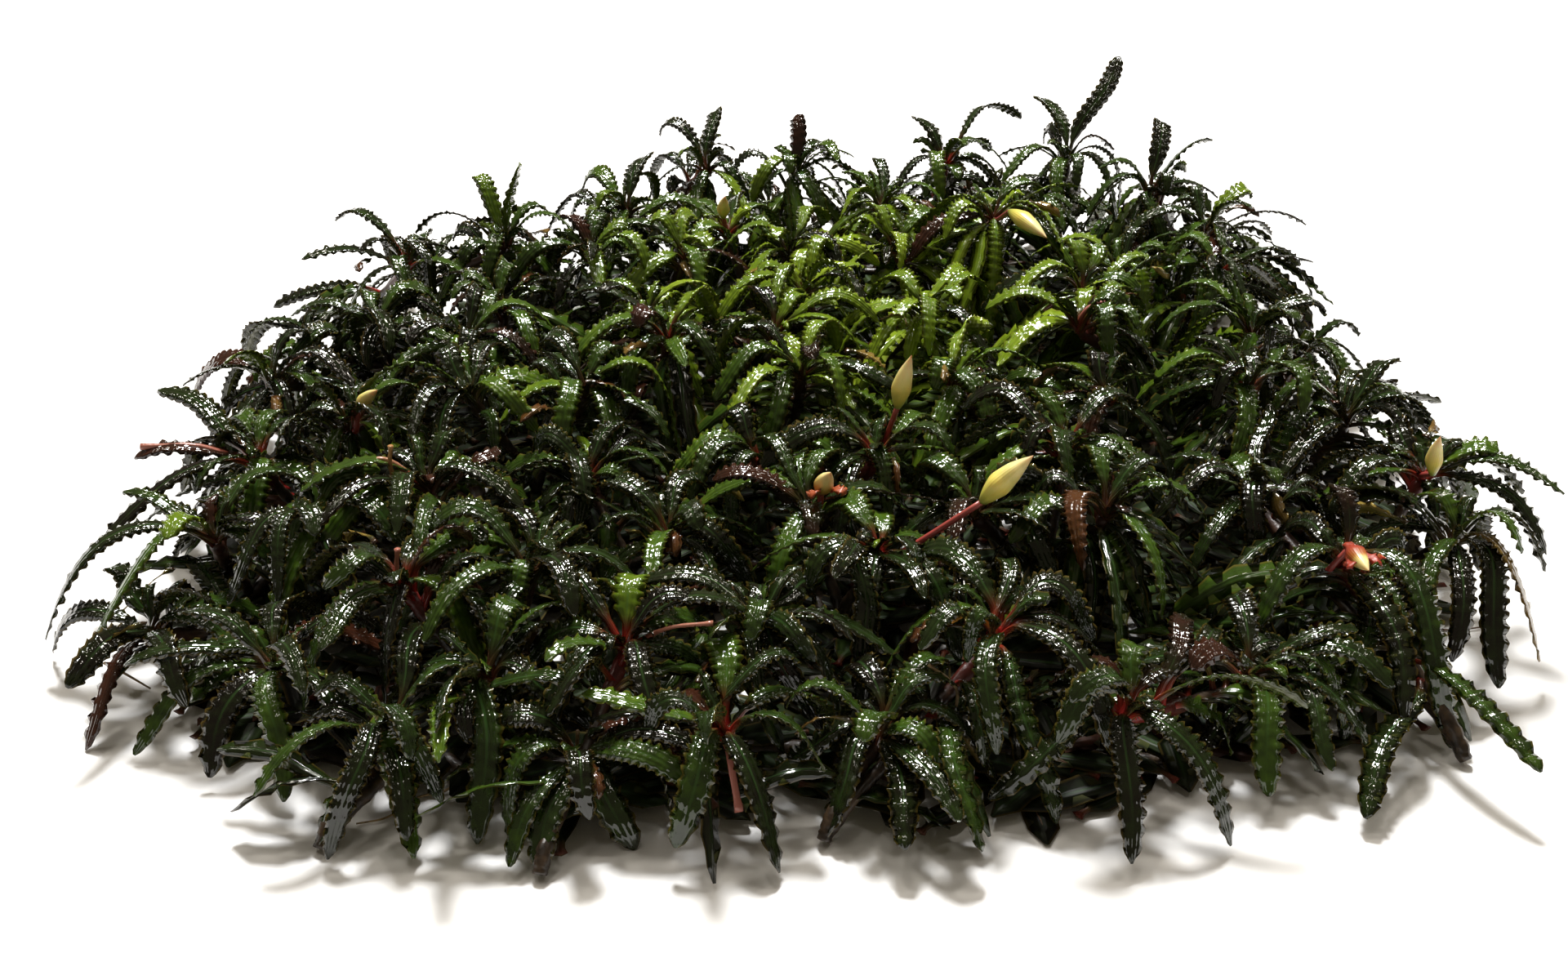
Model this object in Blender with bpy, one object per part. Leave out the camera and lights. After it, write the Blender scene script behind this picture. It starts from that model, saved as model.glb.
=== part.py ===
"""A mat of wavy-leaved bucephalandra, lying free on a flat surface.

Creeping rhizomes lie on the ground. On them stand short forked stems, each branch ending in a
crown with a rosette of arching, strap-shaped leaves. A few crowns carry a flower bud.

Lengths below are in millimetres. The model is in metres, +Z up. The origin is on the ground,
under the middle of the mat, and -Y is the side that faces the viewer.
"""

import math
import random
from collections import namedtuple

import bmesh
import bpy
from mathutils import Matrix, Vector
from mathutils.bvhtree import BVHTree

MM = 0.001
SEED = 11
UP = Vector((0, 0, 1))

# Creeping stems
RHIZOME_WIDTH = 4.6
RHIZOME_HEIGHT = 3.6
FORK_CLEARANCE = 4.4
GAP = 0.3

# Forked stems and crowns
HUB_RADIUS = 2.2
CROWN_RADIUS = 2.5
HUB_HEIGHT = RHIZOME_HEIGHT + GAP + HUB_RADIUS
PAIR_REACH = 48
THIRD_REACH = 60

# Leaves
LEAF_WIDTH = 7.8
LEAF_KEEL = 1.0
LEAF_SPARE = 0.35
LOWEST_MIDRIB = 1.5
CLEAR_OF_CROWN = 0.3
SAME_POINT = 0.01
TUBE_ROOM = 1.6
TRIES = 26
PHASES = 20
RIM_DROOP = (0.55, 0.95)
PLAIN_STATIONS = ((0.4, 0.96), (0.75, 0.86))
FINE_STATIONS = ((0.2, 0.42), (0.48, 1.0), (0.78, 0.84))

# Infill of the mat between the crowns placed by hand
FILL_SPACING = 31.5
FILL_DARTS = 6000
FILL_HEIGHT = 27
FILL_RISE_TO_BACK = 0.055
FILL_EDGE = [(-118, -122), (-132, -75), (-133, 0), (-118, 55), (-85, 92), (-45, 138), (0, 148), (60, 148),
             (112, 138), (122, 98), (112, 60), (118, 10), (138, -50), (118, -95), (88, -128),
             (40, -138), (-60, -128)]

# Crowns that the photo shows, by the side of the mat that they are on
CROWNS = {
    "west_front": (-138, -92, 24),
    "west_low": (-146, -117, 13),
    "west_mid": (-137, -58, 27),
    "west_back": (-148, -8, 27),
    "west_red": (-126, 72, 34),
    "north_west": (-95, 88, 36),
    "north_a": (-57, 125, 36),
    "north_b": (-30, 170, 38),
    "north_c": (5, 160, 40),
    "north_arch": (62, 165, 42),
    "north_tall": (108, 160, 45),
    "north_east": (133, 129, 42),
    "east_back": (146, 98, 38),
    "east_red": (143, 66, 34),
    "east_mid": (140, 12, 34),
    "east_inner": (127, -30, 36),
    "east_outer": (151, -42, 32),
    "east_bud": (160, -74, 32),
    "east_low": (158, -101, 28),
    "south_east": (127, -112, 30),
    "south_red": (70, -158, 20),
    "south_orange": (46, -138, 27),
    "south_side": (100, -140, 17),
    "south_mid": (21, -155, 14),
    "south_pink": (-12, -161, 18),
    "south_big": (-34, -138, 24),
    "south_root": (-43, -160, 11),
    "south_600": (-63, -144, 20),
    "south_490": (-82, -154, 14),
    "south_west": (-112, -136, 16),
    "inner_500": (-85, -121, 28),
    "inner_525": (-88, -80, 32),
    "inner_640": (-58, -114, 28),
    "inner_bud": (24, -61, 30),
    "inner_820": (-34, 4, 36),
    "inner_stalk": (22, -106, 28),
    "inner_930": (-6, -128, 24),
    "inner_1330": (78, -90, 30),
    "inner_1290": (72, -60, 32),
    "inner_open": (6, -84, 28),
    "inner_400": (-112, -92, 28),
    "back_bud": (72, 95, 44),
    "back_small": (-20, 108, 34),
    "west_bud": (-116, -42, 30),
    "middle_a": (5, -14, 33),
    "middle_b": (-3, 16, 33),
    "rim_nw": (-128, 106, 17),
    "rim_north_1": (-84, 124, 18),
    "rim_north_2": (-58, 160, 16),
    "rim_north_3": (-6, 189, 17),
    "rim_north_4": (30, 180, 16),
    "rim_north_5": (82, 188, 18),
    "rim_north_6": (132, 172, 17),
    "rim_ne": (160, 134, 16),
    "rim_east_1": (164, 36, 17),
    "rim_east_2": (162, -8, 16),
    "rim_west": (-152, 42, 18),
}

# Leaves that make the outline of the mat: crown, tip, and how high the leaf arches over its crown
EDGE_LEAVES = [
    ("west_front", (-176, -114, 12), 22),
    ("west_front", (-181, -119, 6), 26),
    ("west_front", (-160, -128, 8), 20),
    ("west_low", (-175, -134, 2), 10),
    ("west_low", (-127, -152, 3), 12),
    ("west_mid", (-166, -66, 36), 12),
    ("west_mid", (-168, -38, 40), 16),
    ("west_mid", (-172, -84, 14), 16),
    ("west_back", (-152, -30, 44), 20),
    ("west_back", (-178, 6, 20), 18),
    ("west_red", (-156, 59, 42), 14),
    ("west_red", (-150, 84, 46), 30),
    ("west_red", (-138, 98, 40), 16),
    ("north_west", (-87, 84, 66), 26),
    ("north_west", (-106, 102, 60), 22),
    ("north_a", (-78, 148, 40), 22),
    ("north_a", (-50, 150, 50), 22),
    ("north_b", (-52, 190, 50), 28),
    ("north_b", (-32, 195, 58), 22),
    ("north_c", (5, 174, 60), 18),
    ("north_c", (18, 190, 40), 20),
    ("north_arch", (50, 178, 58), 18),
    ("north_arch", (93, 186, 56), 34),
    ("north_tall", (129, 184, 80), 24),
    ("north_tall", (119, 186, 58), 34),
    ("north_tall", (100, 192, 62), 24),
    ("north_east", (141, 152, 66), 22),
    ("north_east", (153, 130, 64), 20),
    ("east_back", (166, 108, 50), 22),
    ("east_back", (157, 84, 52), 18),
    ("east_red", (168, 50, 44), 14),
    ("east_red", (172, 72, 38), 16),
    ("east_mid", (146, -8, 48), 18),
    ("east_mid", (166, 22, 40), 20),
    ("east_outer", (166, -30, 46), 18),
    ("east_outer", (177, -40, 28), 20),
    ("east_bud", (174, -80, 42), 14),
    ("east_bud", (183, -88, 32), 18),
    ("east_low", (178, -106, 24), 24),
    ("east_low", (174, -114, 3), 20),
    ("east_low", (164, -128, 4), 16),
    ("south_east", (148, -148, 2), 20),
    ("south_east", (138, -150, 3), 16),
    ("south_east", (124, -146, 6), 18),
    ("south_east", (106, -130, 20), 14),
    ("south_side", (128, -156, 3), 14),
    ("south_side", (100, -166, 6), 14),
    ("south_red", (90, -176, 2), 16),
    ("south_red", (80, -182, 2), 14),
    ("south_red", (68, -182, 3), 12),
    ("south_orange", (72, -166, 12), 18),
    ("south_orange", (54, -180, 2), 16),
    ("south_mid", (40, -176, 2), 12),
    ("south_mid", (24, -178, 3), 10),
    ("south_mid", (8, -174, 2), 10),
    ("south_pink", (-2, -184, 2), 12),
    ("south_pink", (-18, -184, 3), 14),
    ("south_root", (-30, -178, 2), 8),
    ("south_root", (-48, -184, 2), 9),
    ("south_big", (-24, -164, 12), 16),
    ("south_600", (-62, -176, 2), 14),
    ("south_490", (-74, -180, 2), 12),
    ("south_490", (-90, -174, 2), 12),
    ("south_west", (-122, -156, 3), 12),
    ("south_west", (-104, -162, 2), 12),
]

# Flower buds: crown, where the bud starts, bud tip, and how thick it is
BUDS = [
    ("inner_bud", (29, -58, 44), (32, -59, 59), 5.4),
    ("inner_stalk", (45, -107, 43), (56, -107, 55), 5.8),
    ("back_bud", (75, 80, 52), (85, 61, 49), 5.8),
    ("east_bud", (156, -87, 40), (154, -91, 52), 4.2),
    ("south_east", (127, -117, 37), (127, -129, 38), 4.6),
    ("back_small", (-21, 101, 43), (-20, 93, 53), 4.6),
    ("west_bud", (-113, -45, 38), (-106, -49, 45), 4.0),
    ("inner_open", (9, -89, 36), (11, -96, 45), 5.0),
]

STALK_RADIUS = 0.8
KNEE_REACH = 6
BUD_SIDES = 6
SPATHE_SHAPE = ((0.12, 0.62), (0.36, 1.0), (0.66, 0.72), (0.88, 0.3))

SIDE_FACES = [(1, 1, -1), (-1, 1, -1), (-1, 1, 1), (-1, -1, 1), (1, -1, 1), (1, -1, -1)]

Leaf = namedtuple("Leaf", "base bend tip width roll root")


def clear_scene():
    for item in list(bpy.data.objects):
        bpy.data.objects.remove(item, do_unlink=True)


def inside(x, y, outline):
    """True where a point of the plan is inside a closed outline."""
    hits = 0
    for (ax, ay), (bx, by) in zip(outline, outline[1:] + outline[:1]):
        if (ay > y) != (by > y) and x < ax + (y - ay) / (by - ay) * (bx - ax):
            hits += 1
    return hits % 2 == 1


def all_crowns(chance):
    """The crowns placed by hand, then the infill that stands clear of them."""
    crowns = {name: Vector(place) for name, place in CROWNS.items()}
    for dart in range(FILL_DARTS):
        x = chance.uniform(-150, 150)
        y = chance.uniform(-150, 160)
        z = FILL_HEIGHT + FILL_RISE_TO_BACK * (y + 40) + chance.uniform(-4, 6)
        near = min(math.hypot(x - c.x, y - c.y) for c in crowns.values())
        if near > FILL_SPACING and inside(x, y, FILL_EDGE):
            crowns["fill_%02d" % (len(crowns) - len(CROWNS))] = Vector((x, y, z))
    return crowns


def plan_distance(a, b):
    return math.hypot(a.x - b.x, a.y - b.y)


def group_plants(crowns):
    """Neighbouring crowns in twos, and a crown left over joins the nearest pair."""
    names = list(crowns)
    pairs = sorted((plan_distance(crowns[a], crowns[b]), a, b)
                   for i, a in enumerate(names) for b in names[i + 1:])
    taken = set()
    plants = []
    for distance, a, b in pairs:
        if distance < PAIR_REACH and a not in taken and b not in taken:
            plants.append([a, b])
            taken.update((a, b))
    for name in names:
        if name in taken:
            continue
        small = [p for p in plants if len(p) == 2]
        near = min(small, key=lambda p: max(plan_distance(crowns[name], crowns[m]) for m in p))
        if max(plan_distance(crowns[name], crowns[m]) for m in near) < THIRD_REACH:
            near.append(name)
        else:
            plants.append([name])
    return plants


def hub_of(plant, crowns):
    """Where a plant's stems meet, low over its rhizome."""
    middle = sum((crowns[name] for name in plant), Vector()) / len(plant)
    return Vector((middle.x, middle.y, HUB_HEIGHT))


def crown_turn(crown, hub, phase):
    """The rotation that stands a crown's knob on one face, leaning with its stem."""
    axis = ((crown - hub).normalized() + UP).normalized()
    stand = Vector((1, 1, 1)).rotation_difference(axis).to_matrix()
    return Matrix.Rotation(phase, 3, axis) @ stand


def side_roots(turn):
    """The directions of a crown's six side faces, one for each leaf of its rosette."""
    return [(turn @ Vector(face)).normalized() for face in SIDE_FACES]


def root_corners(crown, turn, root):
    """The corners of the crown's face in a root direction, in order round it."""
    face = turn.transposed() @ root
    steps = [Vector((math.copysign(1, face.x), 0, 0)), Vector((0, math.copysign(1, face.y), 0)),
             Vector((0, 0, math.copysign(1, face.z)))]
    corners = [crown + turn @ step * CROWN_RADIUS for step in steps]
    if (corners[1] - corners[0]).cross(corners[2] - corners[0]).dot(root) < 0:
        corners.reverse()
    return corners


def matched(points, ring):
    """The ring, turned so that its points lie nearest to the given points."""
    count = len(ring)
    turns = [[ring[(i + k) % count] for i in range(count)] for k in range(count)]
    return min(turns, key=lambda turn: sum((a - b).length for a, b in zip(points, turn)))


def crown_turns(crowns, plants, chance):
    """Turn each crown so that its faces suit the leaves and the bud that are given for it."""
    wishes = {name: [] for name in crowns}
    for name, start, tip, thick in BUDS:
        wishes[name].append(Vector(start) - crowns[name])
    for name, tip, lift in EDGE_LEAVES:
        wishes[name].append(Vector(tip) - crowns[name])
    turns = {}
    for plant in plants:
        hub = hub_of(plant, crowns)
        for name in plant:
            first = chance.uniform(0, math.tau)
            choices = [crown_turn(crowns[name], hub, first + math.tau * k / PHASES) for k in range(PHASES)]
            turns[name] = max(choices, key=lambda turn: suits(turn, wishes[name]))
    return turns


def suits(turn, wishes):
    roots = side_roots(turn)
    return sum(nearest_root(roots, wish).dot(wish.normalized()) for wish in wishes)


def nearest_root(roots, direction):
    return max(roots, key=lambda root: root.dot(direction.normalized()))


def curve_point(leaf, s):
    return leaf.base * (1 - s) ** 2 + leaf.bend * 2 * s * (1 - s) + leaf.tip * s ** 2


def curve_heading(leaf, s):
    return ((leaf.bend - leaf.base) * (1 - s) + (leaf.tip - leaf.bend) * s).normalized()


def leaf_ring(leaf, s, share, spare=0.0):
    """Keel, left margin and right margin of a leaf at s, in order round the section."""
    centre = curve_point(leaf, s)
    centre.z = max(centre.z, LOWEST_MIDRIB)
    along = curve_heading(leaf, s)
    plan = leaf.tip - leaf.base
    side = Vector((plan.y, -plan.x, 0))
    side = (side - along * side.dot(along)).normalized()
    normal = side.cross(along)
    side, normal = (side * math.cos(leaf.roll) + normal * math.sin(leaf.roll),
                    normal * math.cos(leaf.roll) - side * math.sin(leaf.roll))
    half = leaf.width / 2 * share + spare
    keel = centre - normal * (LEAF_KEEL + spare)
    left = centre - side * half + normal * spare
    right = centre + side * half + normal * spare
    return [keel, left, right]


class Solid:
    """A closed shape that can be tested against others."""

    def __init__(self, points, faces):
        self.points = points
        self.faces = faces
        self.tree = BVHTree.FromPolygons(points, faces)
        self.low = [min(point[i] for point in points) for i in range(3)]
        self.high = [max(point[i] for point in points) for i in range(3)]

    def near(self, other):
        return all(self.low[i] <= other.high[i] and self.high[i] >= other.low[i] for i in range(3))

    def crosses(self, other):
        return self.near(other) and bool(self.tree.overlap(other.tree))

    def crosses_past_corners(self, other):
        """True where faces cross that have no corner in common, of one leaf or two of one crown."""
        if not self.near(other):
            return False
        for face, other_face in self.tree.overlap(other.tree):
            corners = [self.points[i] for i in self.faces[face]]
            other_corners = [other.points[i] for i in other.faces[other_face]]
            if not any((a - b).length < SAME_POINT for a in corners for b in other_corners):
                return True
        return False


def leaf_shape(corners, rings, tip):
    """Points and triangles of a leaf, from the three corners that it grows on to its tip."""
    points = list(corners)
    faces = []
    for ring in rings:
        low = len(points) - 3
        points += matched(points[low:], ring)
        for k in range(3):
            faces += split_quad(points, low + k, low + (k + 1) % 3)
    last = len(points) - 3
    points.append(tip)
    faces += [(last + k, last + (k + 1) % 3, last + 3) for k in range(3)]
    return points, faces


def split_quad(points, a, b):
    """The four-sided face over the edge from a to b, split along its shorter diagonal."""
    c, d = b + 3, a + 3
    if (points[a] - points[c]).length < (points[b] - points[d]).length:
        return [(a, b, c), (a, c, d)]
    return [(a, b, d), (b, c, d)]


def tube_solid(start, end, radius):
    """A three-sided tube, for stems and stalks."""
    along = (end - start).normalized()
    first = along.orthogonal().normalized()
    turns = [Matrix.Rotation(math.tau * k / 3, 3, along) @ first * radius for k in range(3)]
    points = [start + t for t in turns] + [end + t for t in turns]
    sides = [(k, (k + 1) % 3, (k + 1) % 3 + 3, k + 3) for k in range(3)]
    return Solid(points, [(0, 1, 2), (3, 5, 4)] + sides)


class Crowd:
    """The solids placed so far, to keep each new leaf clear of them."""

    def __init__(self):
        self.leaves = []
        self.tubes = []
        self.crowns = []

    def add_leaf(self, whole, past_root, owner):
        self.leaves.append((whole, past_root, owner))

    def add_tube(self, start, end, radius, owner=None):
        """A tube that stops every leaf; the root parts of its owner's leaves may touch it."""
        self.tubes.append((tube_solid(start, end, radius), owner))

    def add_crown(self, start, end, radius, owner):
        """A tube round a crown, which stops the leaves of other crowns only."""
        self.crowns.append((tube_solid(start, end, radius), owner))

    def blocks(self, whole, past_root, owner):
        """True where a new leaf touches what is placed, corners on its own crown left out."""
        if whole.crosses_past_corners(whole):
            return True
        for tube, tube_owner in self.tubes:
            if (past_root if owner == tube_owner else whole).crosses(tube):
                return True
        for crown, crown_owner in self.crowns:
            if owner != crown_owner and whole.crosses(crown):
                return True
        for other_whole, other_past_root, other_owner in self.leaves:
            if owner != other_owner:
                hit = whole.crosses(other_whole)
            else:
                hit = (past_root.crosses(other_past_root)
                       or whole.crosses_past_corners(other_whole))
            if hit:
                return True
        return False


def leaf_solids(leaf, stations, corners, spare):
    """The whole leaf from its crown's face, and the leaf without its innermost part."""
    rings = [leaf_ring(leaf, s, share, spare) for s, share in stations]
    first = matched(corners, rings[0])
    clear = [corner.lerp(point, CLEAR_OF_CROWN) for corner, point in zip(corners, first)]
    return Solid(*leaf_shape(corners, rings, leaf.tip)), Solid(*leaf_shape(clear, rings, leaf.tip))


def bent_leaf(base, azimuth, reach, drop, lift, sway, root, chance):
    """A leaf that leaves its crown at an azimuth, arches over and comes down at its reach."""
    out = Vector((math.cos(azimuth), math.sin(azimuth), 0))
    across = Vector((-out.y, out.x, 0))
    tip = base + out * reach + UP * drop
    tip.z = max(tip.z, LOWEST_MIDRIB)
    bend = base + out * reach * 0.42 + UP * lift + across * sway
    width = LEAF_WIDTH * chance.uniform(0.86, 1.06)
    return Leaf(base, bend, tip, width, math.radians(chance.uniform(-16, 16)), root)


def wished_leaf(place, root, spread, chance):
    """A side leaf of a rosette; spread widens the choice when earlier tries were blocked."""
    azimuth = math.atan2(root.y, root.x)
    azimuth += math.radians(chance.uniform(-12, 12) + chance.uniform(-26, 26) * spread)
    shrink = 1 - 0.42 * spread * chance.random()
    if root.z > 0:
        reach, drop, lift = chance.uniform(24, 31), chance.uniform(-6, 6), chance.uniform(18, 25)
    else:
        reach, drop, lift = chance.uniform(26, 34), chance.uniform(-16, -4), chance.uniform(9, 15)
    if not inside(place.x + reach * math.cos(azimuth), place.y + reach * math.sin(azimuth), FILL_EDGE):
        drop = -place.z * chance.uniform(*RIM_DROOP)
        lift = chance.uniform(12, 20)
    drop += chance.uniform(-8, 16) * spread
    lift += chance.uniform(-5, 12) * spread
    sway = chance.uniform(-4, 4)
    return bent_leaf(place, azimuth, reach * shrink, drop, lift * shrink, sway, root, chance)


def spear_leaf(place, root, spread, chance):
    """The young leaf that rises from the middle of a rosette and leans over its side leaves."""
    azimuth = chance.uniform(0, math.tau)
    reach = chance.uniform(13, 20) + 8 * spread * chance.random()
    drop = chance.uniform(5, 13) + 6 * spread * chance.random()
    return bent_leaf(place, azimuth, reach, drop, chance.uniform(16, 21), 0, root, chance)


def edge_leaf(place, tip, lift, root, spread, chance):
    """A leaf whose tip is given; it gives way only as far as its neighbours make it."""
    tip = Vector(tip)
    tip += Vector((chance.uniform(-5, 5), chance.uniform(-5, 5), chance.uniform(-2, 7))) * spread
    tip.z = max(tip.z, LOWEST_MIDRIB)
    plan = tip - place
    bend = place + Vector((plan.x, plan.y, 0)) * 0.42 + UP * (lift + chance.uniform(-4, 9) * spread)
    width = LEAF_WIDTH * chance.uniform(0.92, 1.08)
    return Leaf(place, bend, tip, width, math.radians(chance.uniform(-14, 14)), root)


def bud_course(name, start, crowns, turns):
    """A bud's root direction, and its stalk from the crown's face through a knee to the spathe."""
    crown = crowns[name]
    start = Vector(start)
    root = nearest_root(side_roots(turns[name]), start - crown)
    foot = crown + root * (CROWN_RADIUS / math.sqrt(3) + GAP)
    return root, [foot, crown + root * KNEE_REACH, start]


def crowd_of_stems(crowns, plants, turns, courses):
    """The rhizomes, crowns, stems and flower buds, which stand before any leaf is placed."""
    crowd = Crowd()
    middle = UP * RHIZOME_HEIGHT / 2
    for course in courses:
        for start, end in zip(course, course[1:]):
            crowd.add_tube(start + middle, end + middle, RHIZOME_WIDTH)
    for plant in plants:
        hub = hub_of(plant, crowns)
        for name in plant:
            crown = crowns[name]
            reach = (crown - hub).normalized() * CROWN_RADIUS
            crowd.add_tube(hub, crown - reach, HUB_RADIUS * TUBE_ROOM, name)
            crowd.add_crown(crown - reach, crown + reach, CROWN_RADIUS * TUBE_ROOM, name)
    for name, start, tip, thick in BUDS:
        foot, knee, end = bud_course(name, start, crowns, turns)[1]
        crowd.add_tube(foot, knee, STALK_RADIUS + GAP)
        crowd.add_tube(knee, end, STALK_RADIUS * 2)
        crowd.add_tube(end, Vector(tip), thick * 0.8)
    return crowd


def place_leaves(crowns, plants, turns, courses, chance):
    """Every leaf of the mat, each clear of the stems and leaves placed before it."""
    crowd = crowd_of_stems(crowns, plants, turns, courses)
    leaves = {name: [] for name in crowns}
    roots = {name: side_roots(turns[name]) for name in crowns}
    tops = {name: (turns[name] @ Vector((1, 1, 1))).normalized() for name in crowns}

    def settle(name, root, stations, make):
        corners = root_corners(crowns[name], turns[name], root)
        for attempt in range(TRIES):
            leaf = make(attempt / TRIES)
            spaced = leaf_solids(leaf, stations, corners, LEAF_SPARE)
            true = leaf_solids(leaf, stations, corners, 0.0)
            if not crowd.blocks(*spaced, name) and not crowd.blocks(*true, name):
                crowd.add_leaf(*true, name)
                leaves[name].append((leaf, stations))
                return

    for name, start, tip, thick in BUDS:
        roots[name].remove(bud_course(name, start, crowns, turns)[0])
    for name, tip, lift in EDGE_LEAVES:
        root = nearest_root(roots[name], Vector(tip) - crowns[name])
        roots[name].remove(root)
        settle(name, root, FINE_STATIONS,
               lambda spread: edge_leaf(crowns[name], tip, lift, root, spread, chance))
    for turn in range(len(SIDE_FACES)):
        for name, place in crowns.items():
            if turn < len(roots[name]):
                root = roots[name][turn]
                settle(name, root, PLAIN_STATIONS,
                       lambda spread: wished_leaf(place, root, spread, chance))
    with_bud = {bud[0] for bud in BUDS}
    for name, place in crowns.items():
        if name not in with_bud:
            root = tops[name]
            settle(name, root, PLAIN_STATIONS,
                   lambda spread: spear_leaf(place, root, spread, chance))
    return leaves


def knob(bm, centre, radius, turn):
    """An eight-faced bump; turn is the rotation that its faces get. Returns its faces."""
    corners = [Vector(c) for c in ((1, 0, 0), (-1, 0, 0), (0, 1, 0), (0, -1, 0), (0, 0, 1), (0, 0, -1))]
    verts = [bm.verts.new(centre + turn @ corner * radius) for corner in corners]
    made = bmesh.ops.convex_hull(bm, input=verts)
    return [item for item in made["geom"] if isinstance(item, bmesh.types.BMFace)]


def grow_leaf(bm, face, leaf, stations):
    """Replace a crown's face by a leaf that starts at its corners."""
    verts = list(face.verts)
    bm.faces.remove(face)
    rings = [leaf_ring(leaf, s, share) for s, share in stations]
    points, faces = leaf_shape([vert.co.copy() for vert in verts], rings, leaf.tip)
    verts += [bm.verts.new(point) for point in points[3:]]
    for corners in faces:
        bm.faces.new([verts[i] for i in corners])


def nearest_face(faces, direction):
    for face in faces:
        face.normal_update()
    return max(faces, key=lambda face: face.normal.dot(direction))


def add_stem(bm, hub_faces, crown_faces, hub, crown, lean):
    """Join a hub to a crown by a stem between their nearest faces."""
    low = nearest_face(hub_faces, (crown - hub).normalized())
    high = nearest_face(crown_faces, -lean)
    hub_faces.remove(low)
    crown_faces.remove(high)
    edges = list(low.edges) + list(high.edges)
    bmesh.ops.delete(bm, geom=[low, high], context="FACES_ONLY")
    bmesh.ops.bridge_loops(bm, edges=edges)


def to_object(bm, name, material):
    """Finish a mesh in metres and link it as an object of its own."""
    bmesh.ops.recalc_face_normals(bm, faces=bm.faces)
    bmesh.ops.scale(bm, vec=(MM, MM, MM), verts=bm.verts)
    mesh = bpy.data.meshes.new(name)
    bm.to_mesh(mesh)
    bm.free()
    mesh.materials.append(material)
    item = bpy.data.objects.new(name, mesh)
    bpy.context.scene.collection.objects.link(item)
    return item


def make_material(name, colour, roughness):
    material = bpy.data.materials.new(name)
    material.use_nodes = True
    shader = material.node_tree.nodes["Principled BSDF"]
    shader.inputs["Base Color"].default_value = (*colour, 1)
    shader.inputs["Roughness"].default_value = roughness
    shader.inputs["Metallic"].default_value = 0
    return material


def make_plant(number, plant, crowns, turns, leaves):
    """One plant: hub, stems, crowns and all their leaves in one closed body."""
    bm = bmesh.new()
    hub = hub_of(plant, crowns)
    first = crowns[plant[0]] - hub
    hub_turn = Matrix.Rotation(math.atan2(first.y, first.x) - math.pi / 4, 3, "Z")
    hub_faces = knob(bm, hub, HUB_RADIUS, hub_turn)
    for name in plant:
        crown = crowns[name]
        faces = knob(bm, crown, CROWN_RADIUS, turns[name])
        add_stem(bm, hub_faces, faces, hub, crown, turns[name] @ Vector((1, 1, 1)))
        for leaf, stations in leaves[name]:
            face = nearest_face(faces, leaf.root)
            faces.remove(face)
            grow_leaf(bm, face, leaf, stations)
    green = make_material("plant_%02d" % number, (0.012, 0.07, 0.014), 0.25)
    return to_object(bm, "plant_%02d" % number, green)


def spanning_branches(hubs):
    """The shortest tree through all hubs, cut into unforked branches, longest first."""
    linked = {0}
    links = {i: [] for i in range(len(hubs))}
    while len(linked) < len(hubs):
        free = [i for i in links if i not in linked]
        near, far = min(((a, b) for a in linked for b in free),
                        key=lambda ab: plan_distance(hubs[ab[0]], hubs[ab[1]]))
        links[near].append(far)
        links[far].append(near)
        linked.add(far)

    def longest_from(start, banned):
        best = [start]
        for step in links[start]:
            if step not in banned:
                tail = longest_from(step, banned | {start})
                if len(tail) + 1 > len(best):
                    best = [start] + tail
        return best

    ends = [i for i in links if len(links[i]) == 1]
    branches = [max((longest_from(end, set()) for end in ends), key=len)]
    used = set(branches[0])
    while len(used) < len(hubs):
        starts = [i for i in used if any(step not in used for step in links[i])]
        tails = [longest_from(start, used - {start}) for start in starts]
        branch = max(tails, key=len)
        branches.append(branch)
        used.update(branch)
    return branches


def rhizome_section(centre, along):
    """A flat-bottomed section of a creeping stem, square to its course."""
    side = Vector((along.y, -along.x, 0)).normalized()
    half = RHIZOME_WIDTH / 2
    shape = ((-half, 0), (half, 0), (half * 0.86, RHIZOME_HEIGHT * 0.66),
             (0, RHIZOME_HEIGHT), (-half * 0.86, RHIZOME_HEIGHT * 0.66))
    return [Vector((centre.x, centre.y, 0)) + side * across + UP * up for across, up in shape]


def loft(bm, rings):
    """A closed body through rings of points. Returns the face at its far end."""
    face = bm.faces.new([bm.verts.new(point) for point in rings[0]])
    for ring in rings[1:]:
        fresh = bmesh.ops.extrude_face_region(bm, geom=[face])["geom"]
        if ring is not rings[1]:
            bm.faces.remove(face)
        face = next(item for item in fresh if isinstance(item, bmesh.types.BMFace))
        for vert, point in zip(list(face.verts), ring):
            vert.co = point
    return face


def rhizome_courses(hubs):
    """The course of each creeping stem; a side branch starts just clear of its parent."""
    courses = []
    for branch in spanning_branches(hubs):
        course = [Vector((hubs[i].x, hubs[i].y, 0)) for i in branch]
        if courses:
            course[0] += (course[1] - course[0]).normalized() * FORK_CLEARANCE
        course[-1] += (course[-1] - course[-2]).normalized() * RHIZOME_WIDTH
        courses.append(course)
    return courses


def make_rhizome(number, course):
    """One unforked creeping stem, flat underneath where it lies on the ground."""
    rings = []
    for i, centre in enumerate(course):
        before = course[max(i - 1, 0)]
        after = course[min(i + 1, len(course) - 1)]
        rings.append(rhizome_section(centre, after - before))
    bm = bmesh.new()
    loft(bm, rings)
    name = "rhizome_%02d" % number
    return to_object(bm, name, make_material(name, (0.09, 0.045, 0.02), 0.6))


def round_section(centre, along, radius):
    """A round section of a stalk or a bud, square to its course."""
    side = Vector((along.y, -along.x, 0)).normalized()
    normal = side.cross(along)
    turns = [math.tau * k / BUD_SIDES for k in range(BUD_SIDES)]
    return [centre + (side * math.cos(turn) + normal * math.sin(turn)) * radius for turn in turns]


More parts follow.
